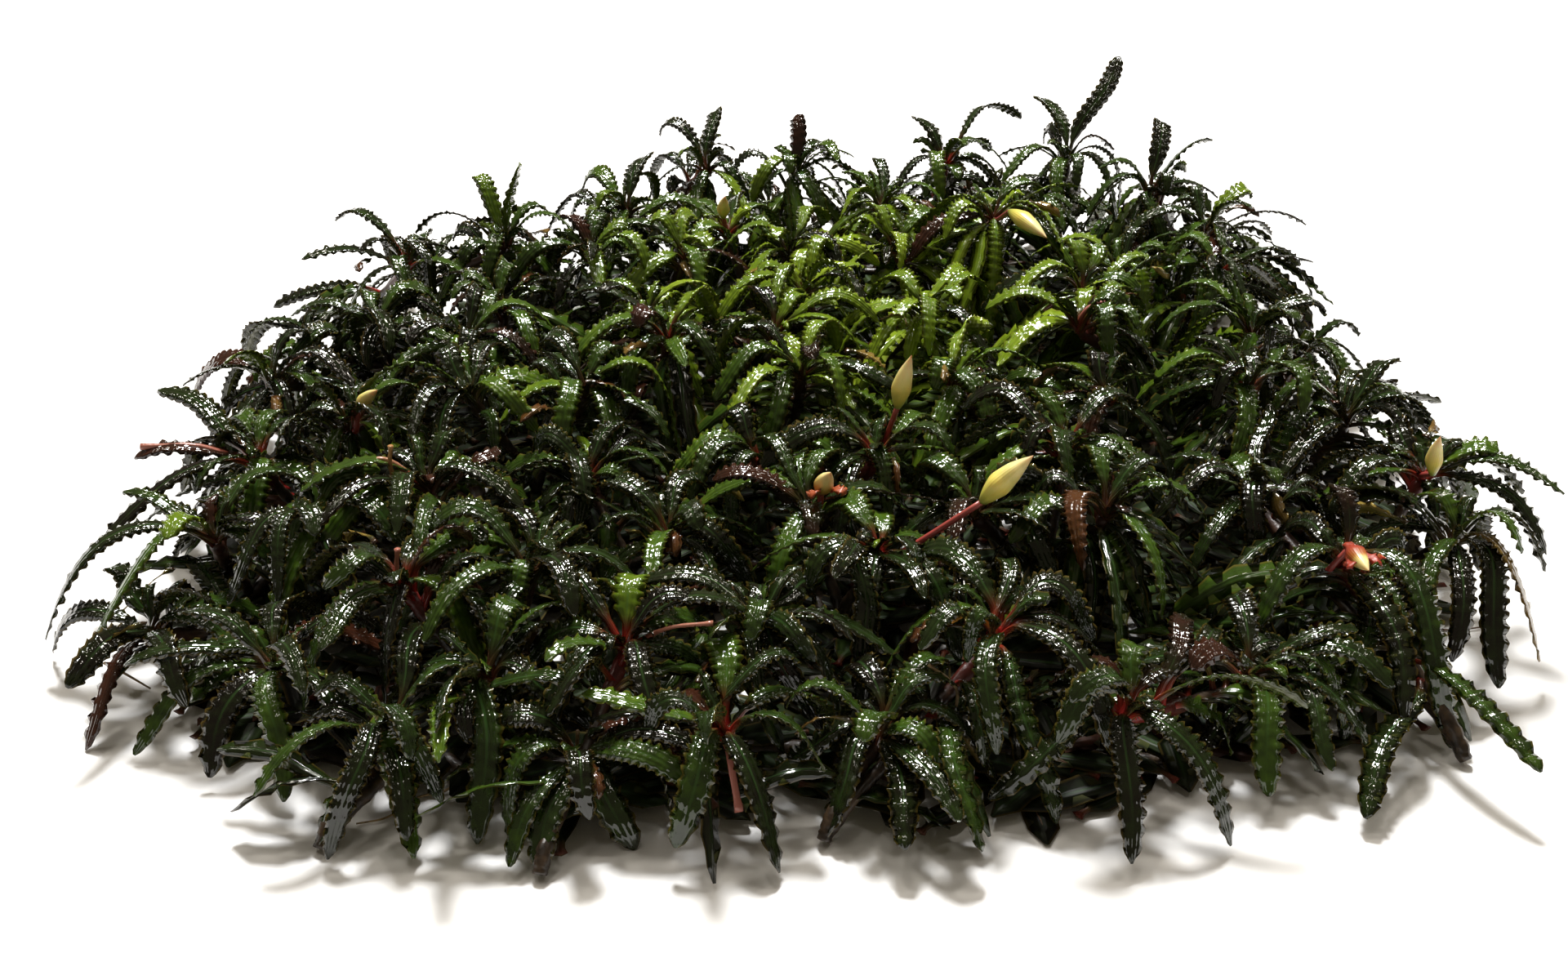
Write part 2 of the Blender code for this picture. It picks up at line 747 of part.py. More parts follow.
def make_bud(number, name, start, tip, thick, crowns, turns):
    """A flower bud: a thin stalk from its crown, and a spathe that swells and comes to a point."""
    course = bud_course(name, start, crowns, turns)[1]
    tip = Vector(tip)
    spathe = tip - course[-1]
    headings = [course[1] - course[0], course[2] - course[0], tip - course[1]]
    rings = [round_section(centre, heading.normalized(), STALK_RADIUS)
             for centre, heading in zip(course, headings)]
    for share, swell in SPATHE_SHAPE:
        centre = course[-1] + spathe * share
        rings.append(round_section(centre, spathe.normalized(), thick / 2 * swell))
    bm = bmesh.new()
    end = loft(bm, rings)
    point = bmesh.ops.poke(bm, faces=[end])["verts"][0]
    point.co = tip
    title = "flower_bud_%d" % number
    return to_object(bm, title, make_material(title, (0.72, 0.66, 0.28), 0.35))


def main():
    clear_scene()
    chance = random.Random(SEED)
    crowns = all_crowns(chance)
    plants = group_plants(crowns)
    turns = crown_turns(crowns, plants, chance)
    courses = rhizome_courses([hub_of(plant, crowns) for plant in plants])
    leaves = place_leaves(crowns, plants, turns, courses, chance)
    for number, plant in enumerate(plants, 1):
        make_plant(number, plant, crowns, turns, leaves)
    for number, course in enumerate(courses, 1):
        make_rhizome(number, course)
    for number, (name, start, tip, thick) in enumerate(BUDS, 1):
        make_bud(number, name, start, tip, thick, crowns, turns)


main()
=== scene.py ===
"""The looks of a mat of wavy-leaved bucephalandra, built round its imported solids.

Stems, creeping stems, flower buds and the leaves that have solids follow those in the frame. The
other leaves are grown among them, and roots, bare stalks and dead scraps are added.
Lengths below are in millimetres, and become metres when a mesh is made.
"""

import math
import random
from collections import namedtuple

import bmesh
import bpy
import numpy as np
from mathutils import Matrix, Vector
from mathutils.bvhtree import BVHTree


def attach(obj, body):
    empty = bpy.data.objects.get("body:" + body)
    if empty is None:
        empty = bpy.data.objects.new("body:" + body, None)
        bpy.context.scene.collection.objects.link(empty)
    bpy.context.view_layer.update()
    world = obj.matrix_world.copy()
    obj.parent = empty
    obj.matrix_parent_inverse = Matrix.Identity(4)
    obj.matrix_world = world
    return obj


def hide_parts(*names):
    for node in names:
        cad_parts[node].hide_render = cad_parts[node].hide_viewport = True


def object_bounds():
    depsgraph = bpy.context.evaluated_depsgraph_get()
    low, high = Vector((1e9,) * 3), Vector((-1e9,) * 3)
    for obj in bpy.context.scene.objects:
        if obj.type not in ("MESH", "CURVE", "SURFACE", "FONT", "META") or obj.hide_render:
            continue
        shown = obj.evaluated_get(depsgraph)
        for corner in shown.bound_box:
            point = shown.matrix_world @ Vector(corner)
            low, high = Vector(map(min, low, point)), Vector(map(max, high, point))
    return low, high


MM = 0.001
SEED = 5

# Nearly upright, so that it isn't parallel to any tube
NEARLY_UP = (0.03, 0.02, 1.0)

# How the solids in the frame are built; a station is a place along a leaf and its share of the width
WELD = 0.02
CROWN_RADIUS = 2.5
HUB_RISE = 2.2
RHIZOME_HEIGHT = 3.6
LEAF_CORNERS = 3
BUD_CORNERS = 6
PLAIN_STATIONS = ((0.4, 0.96), (0.75, 0.86))
FINE_STATIONS = ((0.2, 0.42), (0.48, 1.0), (0.78, 0.84))

# The course of a leaf: its length as a share of the legs of its curve, its roll in degrees, and its
# sway and curl as shares of its length
LEG_SHARE = 0.6
WAVE_SPREAD = (0.9, 1.15)
ROLL = 32
SWAY = (0.08, 0.34)
CURL_START = 0.6
CURL = (-0.4, 1.0)

# A leaf across; its outline is given by places along it and their shares of its width
WAVE_HEIGHT = 0.5
WAVE_POWER = 3.4
SCALLOP = 0.12
PETIOLE_HALF = 0.85
SHEATH_HALF = 1.5
BLADE_START = 0.13
BLADE_FULL = 0.3
BLADE_SHARE = 0.87
CHANNEL = 0.34
DROOP = (-0.16, 0.3)
THICKNESS = 0.3
LOWEST = 0.25
OUTLINE = ((0, 0.0), (0.13, 0.12), (0.2, 0.46), (0.28, 0.78), (0.4, 0.96), (0.56, 1.0), (0.76, 0.96),
           (0.87, 0.86), (0.94, 0.68), (0.98, 0.42), (1, 0.12))

# Each kind of leaf: places across it, rings on its stalk, the length of its waves, rings to a wave,
# how strong the waves are, how far it twists and sways, how light and how dull it is; the low and ground
# leaves are made darker as painted shade deep in the mat
Kind = namedtuple("Kind", "across stalk spacing steps wave twist light dull")
GROWN = Kind((-1, -0.5, 0, 0.5, 1), 6, 1.95, 4, 1.0, 1.0, 1.0, 0.0)
SIDE = Kind((-1, -0.5, 0, 0.5, 1), 5, 1.95, 4, 1.0, 1.0, 0.95, 0.0)
YOUNG = Kind((-1, 0, 1), 4, 2.0, 3, 0.6, 1.0, 1.1, 0.0)
LOW = Kind((-1, 0, 1), 3, 3.0, 2, 0.8, 0.8, 0.95, 0.2)
RIM = Kind((-1, 0, 1), 4, 2.1, 4, 1.0, 0.9, 0.85, 0.0)
GROUND = Kind((-1, 0, 1), 2, 5.5, 2, 0.8, 0.1, 0.6, 1.0)

# How leaves without a solid grow: where their foot is from hub to crown, their reach, the height of
# their tip (over the ground if hangs is 1, over the foot if 0), their arch and half their width. A
# ground leaf's foot is a height, with a second range to try. A young leaf's foot is its size, and
# its reach, tip and arch are shares of that. A filling leaf reaches past the place that it fills.
Habit = namedtuple("Habit", "foot reach tip arch half hangs")
SIDE_HABIT = Habit((0.8, 1.0), (14, 34), (-15, 13), (10, 26), (2.5, 3.6), 0)
LOW_HABIT = Habit((0.25, 0.9), (17, 32), (1, 14), (3, 12), (2.8, 3.8), 1)
FILLING_HABIT = Habit((0.35, 1.0), (3, 10), (1, 16), (3, 14), (2.9, 3.8), 1)
GROUND_HABIT = Habit(((0.8, 3.5), (4, 8)), (16, 30), (-1.5, 1.5), (0, 2), (3.8, 5.0), 0)
YOUNG_HABIT = Habit((9, 19), (0.45, 0.8), 0.55, (0.5, 0.75), (1.3, 2.5), 0)
ADDED_ROLL = 25
LOWEST_TIP = 0.8

# How many of them each crown grows where there is room, how often each one tries, and the stations
# of the strip that it tries with
SIDE_LEAVES = 6
LOW_LEAVES = 2
YOUNG_LEAVES = 3
TRIES = 12
PROBE_STATIONS = ((0.35, 0.5), (0.65, 0.7), (0.95, 0.2))
FACES_IN_GROUP = 12

# The plan of bare ground, one for all leaves and one for those below GROUND_HEIGHT, and the places
# along and across a leaf that cover a cell
CELL = 4.5
GROUND_CELL = 3.2
GROUND_HEIGHT = 8
COVER_PLACES = (0.3, 0.95, 14)
COVER_SHARES = (-0.7, 0, 0.7)

# Bare places that are filled: their distance from a crown, how many of the nearest crowns count, and
# the widest gap between those in degrees, also for a place that is hidden inside the mat
FILL_ROUNDS = 2
BARE_REACH = (5, 40)
FILL_CROWNS = 4
GROUND_CROWNS = 5
FILL_GAP = 235
GROUND_GAP = 205
INNER_GAP = 150

# A gap in the mat that stays open: its middle and radius
OPEN_GAP = ((152, 103), 12)

# How light the leaves are, lighter round one place in the mat where painted light stands for light
# shining through them, and the share of dark ones
RIM_TONE = 0.21
MIDDLE_PAINTED_LIGHT = 0.66
PAINTED_LIGHT_PLACE = (28, 62)
PAINTED_LIGHT_REACH = 84
TONE_SPREAD = 0.12
TONES = (0.02, 0.86)
DARK_SHARE = 0.12
DARK_TONE = (0.0, 0.1)

# The age of green leaves and of those that have turned red-brown
GREEN_AGE = (0.0, 0.1)
BROWN_SHARE = 0.05
BROWN_AGE = (0.3, 0.5)

# How red the leaf stalks of a rosette are, and the crowns of the bright red ones
LITTLE_RED = (0.0, 0.3)
SOME_RED_SHARE = 0.15
SOME_RED = (0.4, 0.8)
HIDDEN_RED = 0.2
RED_NEAR = 5
RED_CROWNS = (
    (-34, -138), (-12, -161), (46, -138), (160, -74), (24, -61), (70, -158), (-137, -58),
    (22, -106), (-85, -121), (143, 66), (62, 165), (-126, 72), (72, -60))

# Leaves of the photo that stand out: the tip of the leaf's solid, its age and its tone
MARKED_LEAVES = (
    ((175, -117), 0.8, 0.2), ((-143, -106), 0.0, 0.6), ((-42, -10), 0.45, 0.1),
    ((-6, 17), 0.42, 0.1), ((123, 153), 0.46, 0.1), ((64, -116), 0.64, 0.2),
    ((129, 184), 0.0, 0.08))

# Small withered leaves, pale or brown: base, tip, half their width and age
WITHERED = (
    ((-47, -68, 27), (-42, -80, 28), 1.9, 0.98), ((-38, -89, 25), (-32, -97, 24), 2.0, 0.94),
    ((-15, -70, 29), (-11, -79, 28), 1.6, 0.98), ((33, -146, 15), (44, -152, 2), 2.2, 0.78),
    ((-150, -92, 16), (-158, -104, 12), 2.0, 0.9), ((116, 64, 38), (125, 58, 36), 2.0, 0.95),
    ((30, 22, 36), (38, 14, 38), 1.6, 0.8), ((-62, -40, 34), (-70, -48, 36), 1.7, 0.74))

# More of them among the crowns: how many, how far from a crown, how long and how old
SCRAPS = 46
SCRAP_REACH = (6, 15)
SCRAP_LENGTH = (8, 14)
SCRAP_AGE = (0.55, 0.88)

# Old bare stalks: their course, radius and colour from pink through tan to orange
BARE_STALKS = (
    (((-12, -161, 18), (-11, -168, 19), (-9, -174, 9)), 1.1, 0.05),
    (((46, -138, 27), (41, -141, 35), (34, -147, 37)), 1.15, 1.0),
    (((-85, -121, 28), (-86, -122, 34), (-85, -123, 40)), 0.8, 0.1),
    (((-88, -80, 32), (-97, -83, 42), (-107, -83, 38)), 1.0, 0.35),
    (((-94, -84, 34), (-95, -85, 41), (-94, -86, 47)), 0.8, 0.6),
    (((-137, -58, 27), (-150, -62, 35), (-164, -64, 36)), 1.1, 0.1),
    (((89, 18, 35), (91, 17, 42), (100, 20, 44)), 1.1, 0.0),
    (((24, -61, 30), (17, -66, 33), (8, -70, 32)), 0.8, 0.2),
    (((-34, -138, 24), (-25, -141, 31), (-15, -142, 33)), 0.8, 0.15))

# Stems and creeping stems
STEM_RADIUS = 1.35
STEM_SCARS = 0.22
STEM_SIDES = 8
BARK_RADIUS = 2.0
BARK_SCARS = 0.16
BARK_SIDES = 10

# Thin roots, and the least height of these and of creeping stems above the ground
SEEN_ROOT_RADIUS = 0.42
ROOT_RADIUS = 0.34
ROOT_SPACING = 5
ROOT_STEPS = 5
GROUND_CLEARANCE = 0.02

# Thin roots that show in the photo: their courses
SEEN_ROOTS = (
    ((-42, -162, 20), (-43, -159, 11), (-42, -158, 5), (-43, -160, 0.5)),
    ((30, -150, 28), (36, -152, 23), (35, -149, 12), (30, -146, 1), (26, -145, 5),
     (25, -144, 14)),
    ((-86, -155, 14), (-87, -154, 5), (-86, -153, 0.5)),
    ((-161, -113, 3), (-155, -117, 3), (-148, -120, 0.6)),
    ((20, -147, 14), (24, -145, 5), (30, -147, 0.5), (38, -149, 0.5)))

# Flower buds: the folds of a spathe are given by their turn, width and height
BUD_STALK = 0.72
SPATHE_RINGS = 30
SPATHE_SIDES = 20
SPATHE_FOLDS = ((2.2, 0.25, 0.1), (1.6, 0.3, -0.05))

# Buds that have turned red and begun to open, how far, and where their torn bracts point
RED_BUDS = {"flower_bud_5": 1.0, "flower_bud_8": 0.45}
BRACT_TURNS = (-0.5, -2.3)
BRACT_REACH = 6
BRACT_HALF = 1.9

# Camera and floor, the lens in millimetres too
CAMERA_PLACE = (0, -415, 210)
CAMERA_PITCH = 28
LENS = 35.26
NEAREST_SEEN = 10
FLOOR_SIZE = 9000
FLOOR_COLOUR = (0.93, 0.925, 0.915)

# A strong lamp above and behind the mat, and weak ones round it that fill its shadow: place, power
KEY = ((-60, 840, 1340), 4.6)
KEY_COLOUR = (1, 1, 1)
FILLS = (((420, 900, 1050), 0.24), ((-420, 950, 1000), 0.24), ((-850, 550, 1100), 0.28),
         ((700, 350, 1250), 0.22), ((-150, -120, 1400), 0.12), ((-650, -100, 1300), 0.11),
         ((300, -450, 1300), 0.06), ((950, 850, 800), 0.2),
         ((120, 500, 1500), 0.24), ((-350, 450, 1450), 0.24))
FILL_COLOUR = (1, 0.93, 0.83)
KEY_ANGLE = 10
FILL_ANGLE = 4.4
WORLD_COLOUR = (1, 0.84, 0.6, 1)
WORLD_STRENGTH = 0.11

# A leaf is a curve, with half its width, its roll, and the way from its crown's middle to its face
Leaf = namedtuple("Leaf", "base bend tip half roll root")
Plant = namedtuple("Plant", "node hub rosettes added")


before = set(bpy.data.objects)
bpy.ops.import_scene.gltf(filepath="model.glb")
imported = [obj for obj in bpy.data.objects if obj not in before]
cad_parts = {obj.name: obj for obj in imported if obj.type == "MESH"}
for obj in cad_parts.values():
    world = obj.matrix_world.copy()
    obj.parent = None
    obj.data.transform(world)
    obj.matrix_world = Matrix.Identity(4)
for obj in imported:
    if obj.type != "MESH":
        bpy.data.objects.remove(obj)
solid_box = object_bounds()


# Reading the solids

def welded(node):
    """A node's mesh in millimetres, with the corners that its faces share joined again."""
    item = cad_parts[node]
    bm = bmesh.new()
    bm.from_mesh(item.data)
    bm.transform(Matrix.Scale(1 / MM, 4) @ item.matrix_world)
    bmesh.ops.remove_doubles(bm, verts=bm.verts, dist=WELD)
    return bm


def neighbours(verts):
    """The corners next to some corners, each once."""
    return list(dict.fromkeys(edge.other_vert(vert) for vert in verts for edge in vert.link_edges))


def rings_from(tip, count):
    """The rings of corners below a tip, nearest first, as far as each has the given count."""
    seen = {tip}
    ring = neighbours([tip])
    rings = []
    while len(ring) == count:
        rings.append([vert.co.copy() for vert in ring])
        seen.update(ring)
        ring = [vert for vert in neighbours(ring) if vert not in seen]
    return rings


def is_crown_face(corners):
    """True for the corners of a face of a crown, whose edges are all alike."""
    edge = CROWN_RADIUS * math.sqrt(2)
    return all(abs((corners[k] - corners[k - 1]).length - edge) < 0.02 * edge for k in range(3))


def crown_candidates(corners):
    """The two places that a crown can have, on either side of one of its faces."""
    centre = sum(corners, Vector()) / 3
    normal = (corners[1] - corners[0]).cross(corners[2] - corners[0]).normalized()
    rise = normal * CROWN_RADIUS / math.sqrt(3)
    return [(centre - rise, normal), (centre + rise, -normal)]


def leaf_place(leaf, s):
    """The middle of a leaf at s, from 0 at its base to 1 at its tip."""
    return leaf.base * (1 - s) ** 2 + leaf.bend * 2 * s * (1 - s) + leaf.tip * s ** 2


def leaf_frame(leaf, s):
    """Heading, side and normal of an unrolled leaf at s."""
    along = ((leaf.bend - leaf.base) * (1 - s) + (leaf.tip - leaf.bend) * s).normalized()
    plan = leaf.tip - leaf.base
    side = Vector((plan.y, -plan.x, 0))
    side = (side - along * side.dot(along)).normalized()
    return along, side, side.cross(along)


def read_leaf(rings, tip, crown, root):
    """A leaf from the rings of its solid; its curve and roll come from the ring nearest its crown."""
    stations = PLAIN_STATIONS if len(rings) == 2 else FINE_STATIONS
    halves = []
    for ring, (s, share) in zip(rings, reversed(stations)):
        pairs = [(ring[k - 1], ring[k], ring[k - 2]) for k in range(3)]
        left, right, keel = max(pairs, key=lambda pair: (pair[0] - pair[1]).length)
        halves.append((left - right).length / 2 / share)
    centre = (left + right) / 2
    bend = (centre - crown * (1 - s) ** 2 - tip * s ** 2) / (2 * s * (1 - s))
    leaf = Leaf(crown, bend, tip, sum(halves) / len(halves), 0, root)
    up = centre - keel
    along, side, normal = leaf_frame(leaf, s)
    return leaf._replace(roll=math.atan2(-up.dot(side), up.dot(normal)))


def read_plant(node):
    """A plant: its hub, the leaves of each of its crowns, and no added leaves yet."""
    bm = welded(node)
    lowest = min(bm.verts, key=lambda vert: vert.co.z)
    hub = lowest.co + Vector((0, 0, HUB_RISE))
    found = []
    for vert in bm.verts:
        if len(vert.link_edges) != LEAF_CORNERS:
            continue
        rings = rings_from(vert, LEAF_CORNERS)
        roots = [k for k, ring in enumerate(rings) if is_crown_face(ring)]
        if roots:
            found.append((vert.co.copy(), rings[:roots[0]], crown_candidates(rings[roots[0]])))
    bm.free()
    places = [place for tip, rings, both in found for place, normal in both]
    leaves = {}
    for tip, rings, both in found:
        crown, root = max(both, key=lambda one: sum((one[0] - p).length < 0.2 for p in places))
        same = leaves.setdefault(tuple(round(value) for value in crown), [])
        same.append(read_leaf(rings, tip, crown, root))
    return Plant(node, hub, list(leaves.values()), [])


def read_bud(node):
    """The middle and radius of each ring of a bud, from its foot to its tip."""
    bm = welded(node)
    tip = next(vert for vert in bm.verts if len(vert.link_edges) == BUD_CORNERS
               and len(rings_from(vert, BUD_CORNERS)) > 2)
    course = [(tip.co.copy(), 0.0)]
    for ring in rings_from(tip, BUD_CORNERS):
        middle = sum(ring, Vector()) / len(ring)
        course.append((middle, sum((point - middle).length for point in ring) / len(ring)))
    bm.free()
    return course[::-1]


def read_course(node):
    """The plan of a creeping stem, in order along its top edge."""
    bm = welded(node)
    tops = [vert for vert in bm.verts if vert.co.z > RHIZOME_HEIGHT - 0.1]
    links = {vert: [v for v in neighbours([vert]) if v in tops] for vert in tops}
    order = [next(vert for vert in tops if len(links[vert]) == 1)]
    while len(order) < len(tops):
        order.append(next(v for v in links[order[-1]] if v not in order))
    course = [Vector((v.co.x, v.co.y, 0)) for v in order]
    bm.free()
    return course


# Meshes

class Surface:
    """A mesh built from closed lofts, with the values that its materials read at each corner."""

    VALUES = ("along", "across", "tone", "age", "under", "red", "dull")

    def __init__(self):
        self.points = []
        self.faces = []
        self.slots = []
        self.values = {name: [] for name in self.VALUES}
        self.count = 0

    def add(self, rings, slot=0, **values):
        """A closed loft through rings of points, an array of shape (rings, points, 3)."""
        stations, size = rings.shape[:2]
        faces = loft_faces(stations, size) + self.count
        self.points.append(rings.reshape(-1, 3))
        self.faces.append(faces)
        self.slots.append(np.full(len(faces), slot))
        for name in self.VALUES:
            spread = np.broadcast_to(values.get(name, 0.0), (stations, size))
            self.values[name].append(spread.reshape(-1))
        self.count += stations * size

    def to_object(self, name, materials):
        points = np.concatenate(self.points) * MM
        faces = np.concatenate(self.faces)
        mesh = bpy.data.meshes.new(name)
        mesh.vertices.add(len(points))
        mesh.vertices.foreach_set("co", points.reshape(-1))
        mesh.loops.add(faces.size)
        mesh.loops.foreach_set("vertex_index", faces.reshape(-1))
        mesh.polygons.add(len(faces))
        mesh.polygons.foreach_set("loop_start", np.arange(len(faces)) * 4)
        mesh.polygons.foreach_set("material_index", np.concatenate(self.slots))
        for value, parts in self.values.items():
            layer = mesh.attributes.new(value, "FLOAT", "POINT")
            layer.data.foreach_set("value", np.concatenate(parts))
        mesh.update(calc_edges=True)
        mesh.shade_smooth()
        for material in materials:
            mesh.materials.append(material)
        return new_object(name, mesh)


def new_object(name, data):
    item = bpy.data.objects.new(name, data)
    bpy.context.scene.collection.objects.link(item)
    return item


def loft_faces(stations, size):
    """Four-sided faces round a loft of closed rings, with both its ends closed."""
    ring = np.arange(size)
    after = (ring + 1) % size
    low = np.arange(stations - 1)[:, None] * size
    sides = np.stack((low + ring, low + after, low + size + after, low + size + ring), axis=-1)
    caps = np.array([(k, k + 1, size - 2 - k, size - 1 - k) for k in range(size // 2 - 1)])
    last = caps + (stations - 1) * size
    return np.concatenate((sides.reshape(-1, 4), caps[:, ::-1], last))


def unit(vectors):
    return vectors / np.maximum(np.linalg.norm(vectors, axis=-1, keepdims=True), 1e-9)


def smooth_path(points, steps):
    """A smooth path through points, with the given steps between each two."""
    points = [Vector(point) for point in points]
    ends = [points[0] * 2 - points[1]] + points + [points[-1] * 2 - points[-2]]
    path = []
    for a, b, c, d in zip(ends, ends[1:], ends[2:], ends[3:]):
        for k in range(steps):
            t = k / steps
            path.append(0.5 * (2 * b + (c - a) * t + (2 * a - 5 * b + 4 * c - d) * t ** 2
                               + (3 * b - a - 3 * c + d) * t ** 3))
    return np.array(path + [points[-1]])


def tube(path, radii, sides, flat=1.0):
    """Rings round a path, with a radius for each ring or point; flat squeezes their height."""
    heading = unit(np.gradient(path, axis=0))
    side = unit(np.cross(heading, np.array(NEARLY_UP)))
    normal = np.cross(side, heading)
    turns = np.arange(sides) * math.tau / sides
    radii = radii.reshape(len(path), -1)
    across = (np.cos(turns) * radii)[..., None] * side[:, None]
    upward = (np.sin(turns) * radii * flat)[..., None] * normal[:, None]
    return path[:, None] + across + upward


def lumps(rings, sides, least, most, chance):
    """Shares of the radius that make a tube uneven."""
    return np.array([chance.uniform(least, most) for _ in range(rings * sides)]).reshape(-1, sides)


def above_ground(rings):
    rings[..., 2] = np.maximum(rings[..., 2], GROUND_CLEARANCE)
    return rings


def outward(turn, reach=1, rise=0):
    return Vector((math.cos(turn) * reach, math.sin(turn) * reach, rise))


def shifted(chance, far, rise):
    return Vector((chance.uniform(-far, far), chance.uniform(-far, far), rise))


# Leaves

def eased(s, start, end):
    t = np.clip((s - start) / (end - start), 0, 1)
    return t * t * (3 - 2 * t)


def leaf_stations(length, spacing, kind):
    """Where along a leaf its rings are: a few on the stalk, several to each wave on the blade."""
    waves = max(3, length * (1 - BLADE_START) / spacing)
    blade = np.linspace(BLADE_START, 1, int(waves * kind.steps))
    stalk = np.linspace(0, BLADE_START, kind.stalk, endpoint=False)
    return np.concatenate((stalk, blade)), waves


def leaf_axes(leaf, s, length, kind, chance):
    """A leaf's middle line from its crown's face, its side and normal, once it has turned and bent."""
    line = leaf._replace(base=np.array(leaf.base), bend=np.array(leaf.bend), tip=np.array(leaf.tip))
    middle = leaf_place(line, s[:, None]) + np.array(leaf.root) * (1 - s[:, None]) ** 12
    heading = unit(np.gradient(middle, axis=0))
    plan = np.array((leaf.tip.y - leaf.base.y, leaf.base.x - leaf.tip.x, 0.0))
    side = unit(plan - heading * (heading @ plan)[:, None])
    normal = np.cross(side, heading)
    roll = leaf.roll + math.radians(chance.gauss(0, ROLL)) * kind.twist * s ** 1.5
    side, normal = (side * np.cos(roll)[:, None] + normal * np.sin(roll)[:, None],
                    normal * np.cos(roll)[:, None] - side * np.sin(roll)[:, None])
    sway = np.sin(math.tau * (s * chance.uniform(0.5, 0.9) + chance.random())) * s * (1 - s)
    middle = middle + side * (sway * kind.twist * length * chance.uniform(*SWAY))[:, None]
    curl = np.maximum(s - CURL_START, 0) ** 2 * kind.twist * length * chance.uniform(*CURL)
    return middle - normal * curl[:, None], side, normal


def crimps(s, across, waves, ramp, kind, chance):
    """How far the margins rise in waves, each side with its own, and how far they reach out."""
    rise = np.zeros((len(s), len(across)))
    reach = np.ones_like(rise)
    for sign in (-1, 1):
        turn = math.tau * (waves * s / (1 - BLADE_START) + chance.random())
        slow = 1 + 0.35 * np.sin(turn * 0.23 + chance.uniform(0, 6))
        swing = (np.sin(turn) + 0.3 * np.sin(turn * 0.61 + chance.uniform(0, 6))) * slow * ramp
        beside = (across * sign > 0) * np.abs(across) ** WAVE_POWER
        rise += WAVE_HEIGHT * (swing * kind.wave)[:, None] * beside
        reach += SCALLOP * (np.sin(turn + 0.9) * ramp)[:, None] * (across * sign > 0.9)
    return rise, reach


def add_leaf(surface, leaf, chance, kind, **looks):
    """One leaf: a round stalk that widens into a channelled blade with crimped margins."""
    length = (leaf.bend - leaf.base).length * LEG_SHARE + (leaf.tip - leaf.bend).length * LEG_SHARE
    s, waves = leaf_stations(length, kind.spacing * chance.uniform(*WAVE_SPREAD), kind)
    across = np.array(kind.across)
    middle, side, normal = leaf_axes(leaf, s, length, kind, chance)

    blade = eased(s, BLADE_START, BLADE_FULL)
    narrow = SHEATH_HALF + (PETIOLE_HALF - SHEATH_HALF) * eased(s, 0, 0.07)
    half = leaf.half * BLADE_SHARE * np.interp(s, *zip(*OUTLINE))
    half = np.maximum(half, narrow * (1 - blade))

    ramp = eased(s, BLADE_START, 0.34) * (1 - 0.45 * eased(s, 0.9, 1))
    rise, reach = crimps(s, across, waves, ramp, kind, chance)
    channel = CHANNEL * np.sin(np.abs(across) * math.pi) - 0.1 * np.abs(across) ** 2
    droop = chance.uniform(*DROOP)
    rise += (blade * np.minimum(half, 4) / 3)[:, None] * (channel - droop * across ** 2) * 1.1
    dome = np.sqrt(np.maximum(1 - across ** 2, 0))
    rise += ((1 - blade) * 0.75)[:, None] * dome

    top = (middle[:, None] + side[:, None] * (across * half[:, None] * reach)[..., None]
           + normal[:, None] * rise[..., None])
    thick = THICKNESS + 0.35 * (1 - blade)
    under = middle - normal * thick[:, None]
    rings = np.concatenate((top, under[:, None]), axis=1)[:, ::-1]
    rings[..., 2] = np.maximum(rings[..., 2], LOWEST)
    wide = np.append(across, 0)[::-1]
    below = (np.arange(len(wide)) == 0) * 1.0
    surface.add(rings, 0, along=s[:, None], across=wide, under=below, **looks)


def leaf_tone(place, chance):
    """How light a leaf is: a random tone, dark at the rim of the mat, and lighter towards its middle,
    where the lighter colour is painted light shining through the leaves.
    """
    if chance.random() < DARK_SHARE:
        return chance.uniform(*DARK_TONE)
    # Painted light: leaves round the lit place in the middle of the mat are made lighter, standing for
    # light that shines through them
    far = math.hypot(place.x - PAINTED_LIGHT_PLACE[0], place.y - PAINTED_LIGHT_PLACE[1]) / PAINTED_LIGHT_REACH
    middle = math.exp(-far * far)
    tone = RIM_TONE + MIDDLE_PAINTED_LIGHT * middle + chance.gauss(0, TONE_SPREAD)
    return min(max(tone, TONES[0]), TONES[1])


def leaf_age(chance):
    """Most leaves are green; a few have turned dark red-brown."""
    return chance.uniform(*(BROWN_AGE if chance.random() < BROWN_SHARE else GREEN_AGE))


# Leaves that have no solid of their own

class Room:
    """The solids of the mat and the leaves added so far, to keep more leaves clear of them."""

    def __init__(self, low, high):
        self.low = low
        self.high = high
        self.trees = []
        self.lows = []
        self.highs = []

    def add(self, points, faces):
        self.trees.append(BVHTree.FromPolygons(points, faces))
        self.lows.append(np.min(points, axis=0))
        self.highs.append(np.max(points, axis=0))

    def free(self, points, faces):
        tree = BVHTree.FromPolygons(points, faces)
        low, high = np.min(points, axis=0), np.max(points, axis=0)
        if np.any(low < self.low) or np.any(high > self.high):
            return False
        near = np.all((np.array(self.lows) < high) & (np.array(self.highs) > low), axis=1)
        return not any(tree.overlap(self.trees[k]) for k in np.flatnonzero(near))


def add_solids(room, node):
    """The faces of a node, in small groups that lie close together."""
    bm = welded(node)
    bm.faces.ensure_lookup_table()
    for start in range(0, len(bm.faces), FACES_IN_GROUP):
        group = bm.faces[start:start + FACES_IN_GROUP]
        points = [vert.co.copy() for face in group for vert in face.verts]
        room.add(points, [(3 * k, 3 * k + 1, 3 * k + 2) for k in range(len(group))])
    bm.free()


def probe(leaf):
    """A flat strip that stands for an added leaf while it looks for room."""
    points = []
    for s, share in PROBE_STATIONS:
        along, side, normal = leaf_frame(leaf, s)
        centre = leaf_place(leaf, s)
        points += [centre - side * leaf.half * share, centre + side * leaf.half * share]
    return points, [(0, 1, 3), (0, 3, 2), (2, 3, 5), (2, 5, 4)]


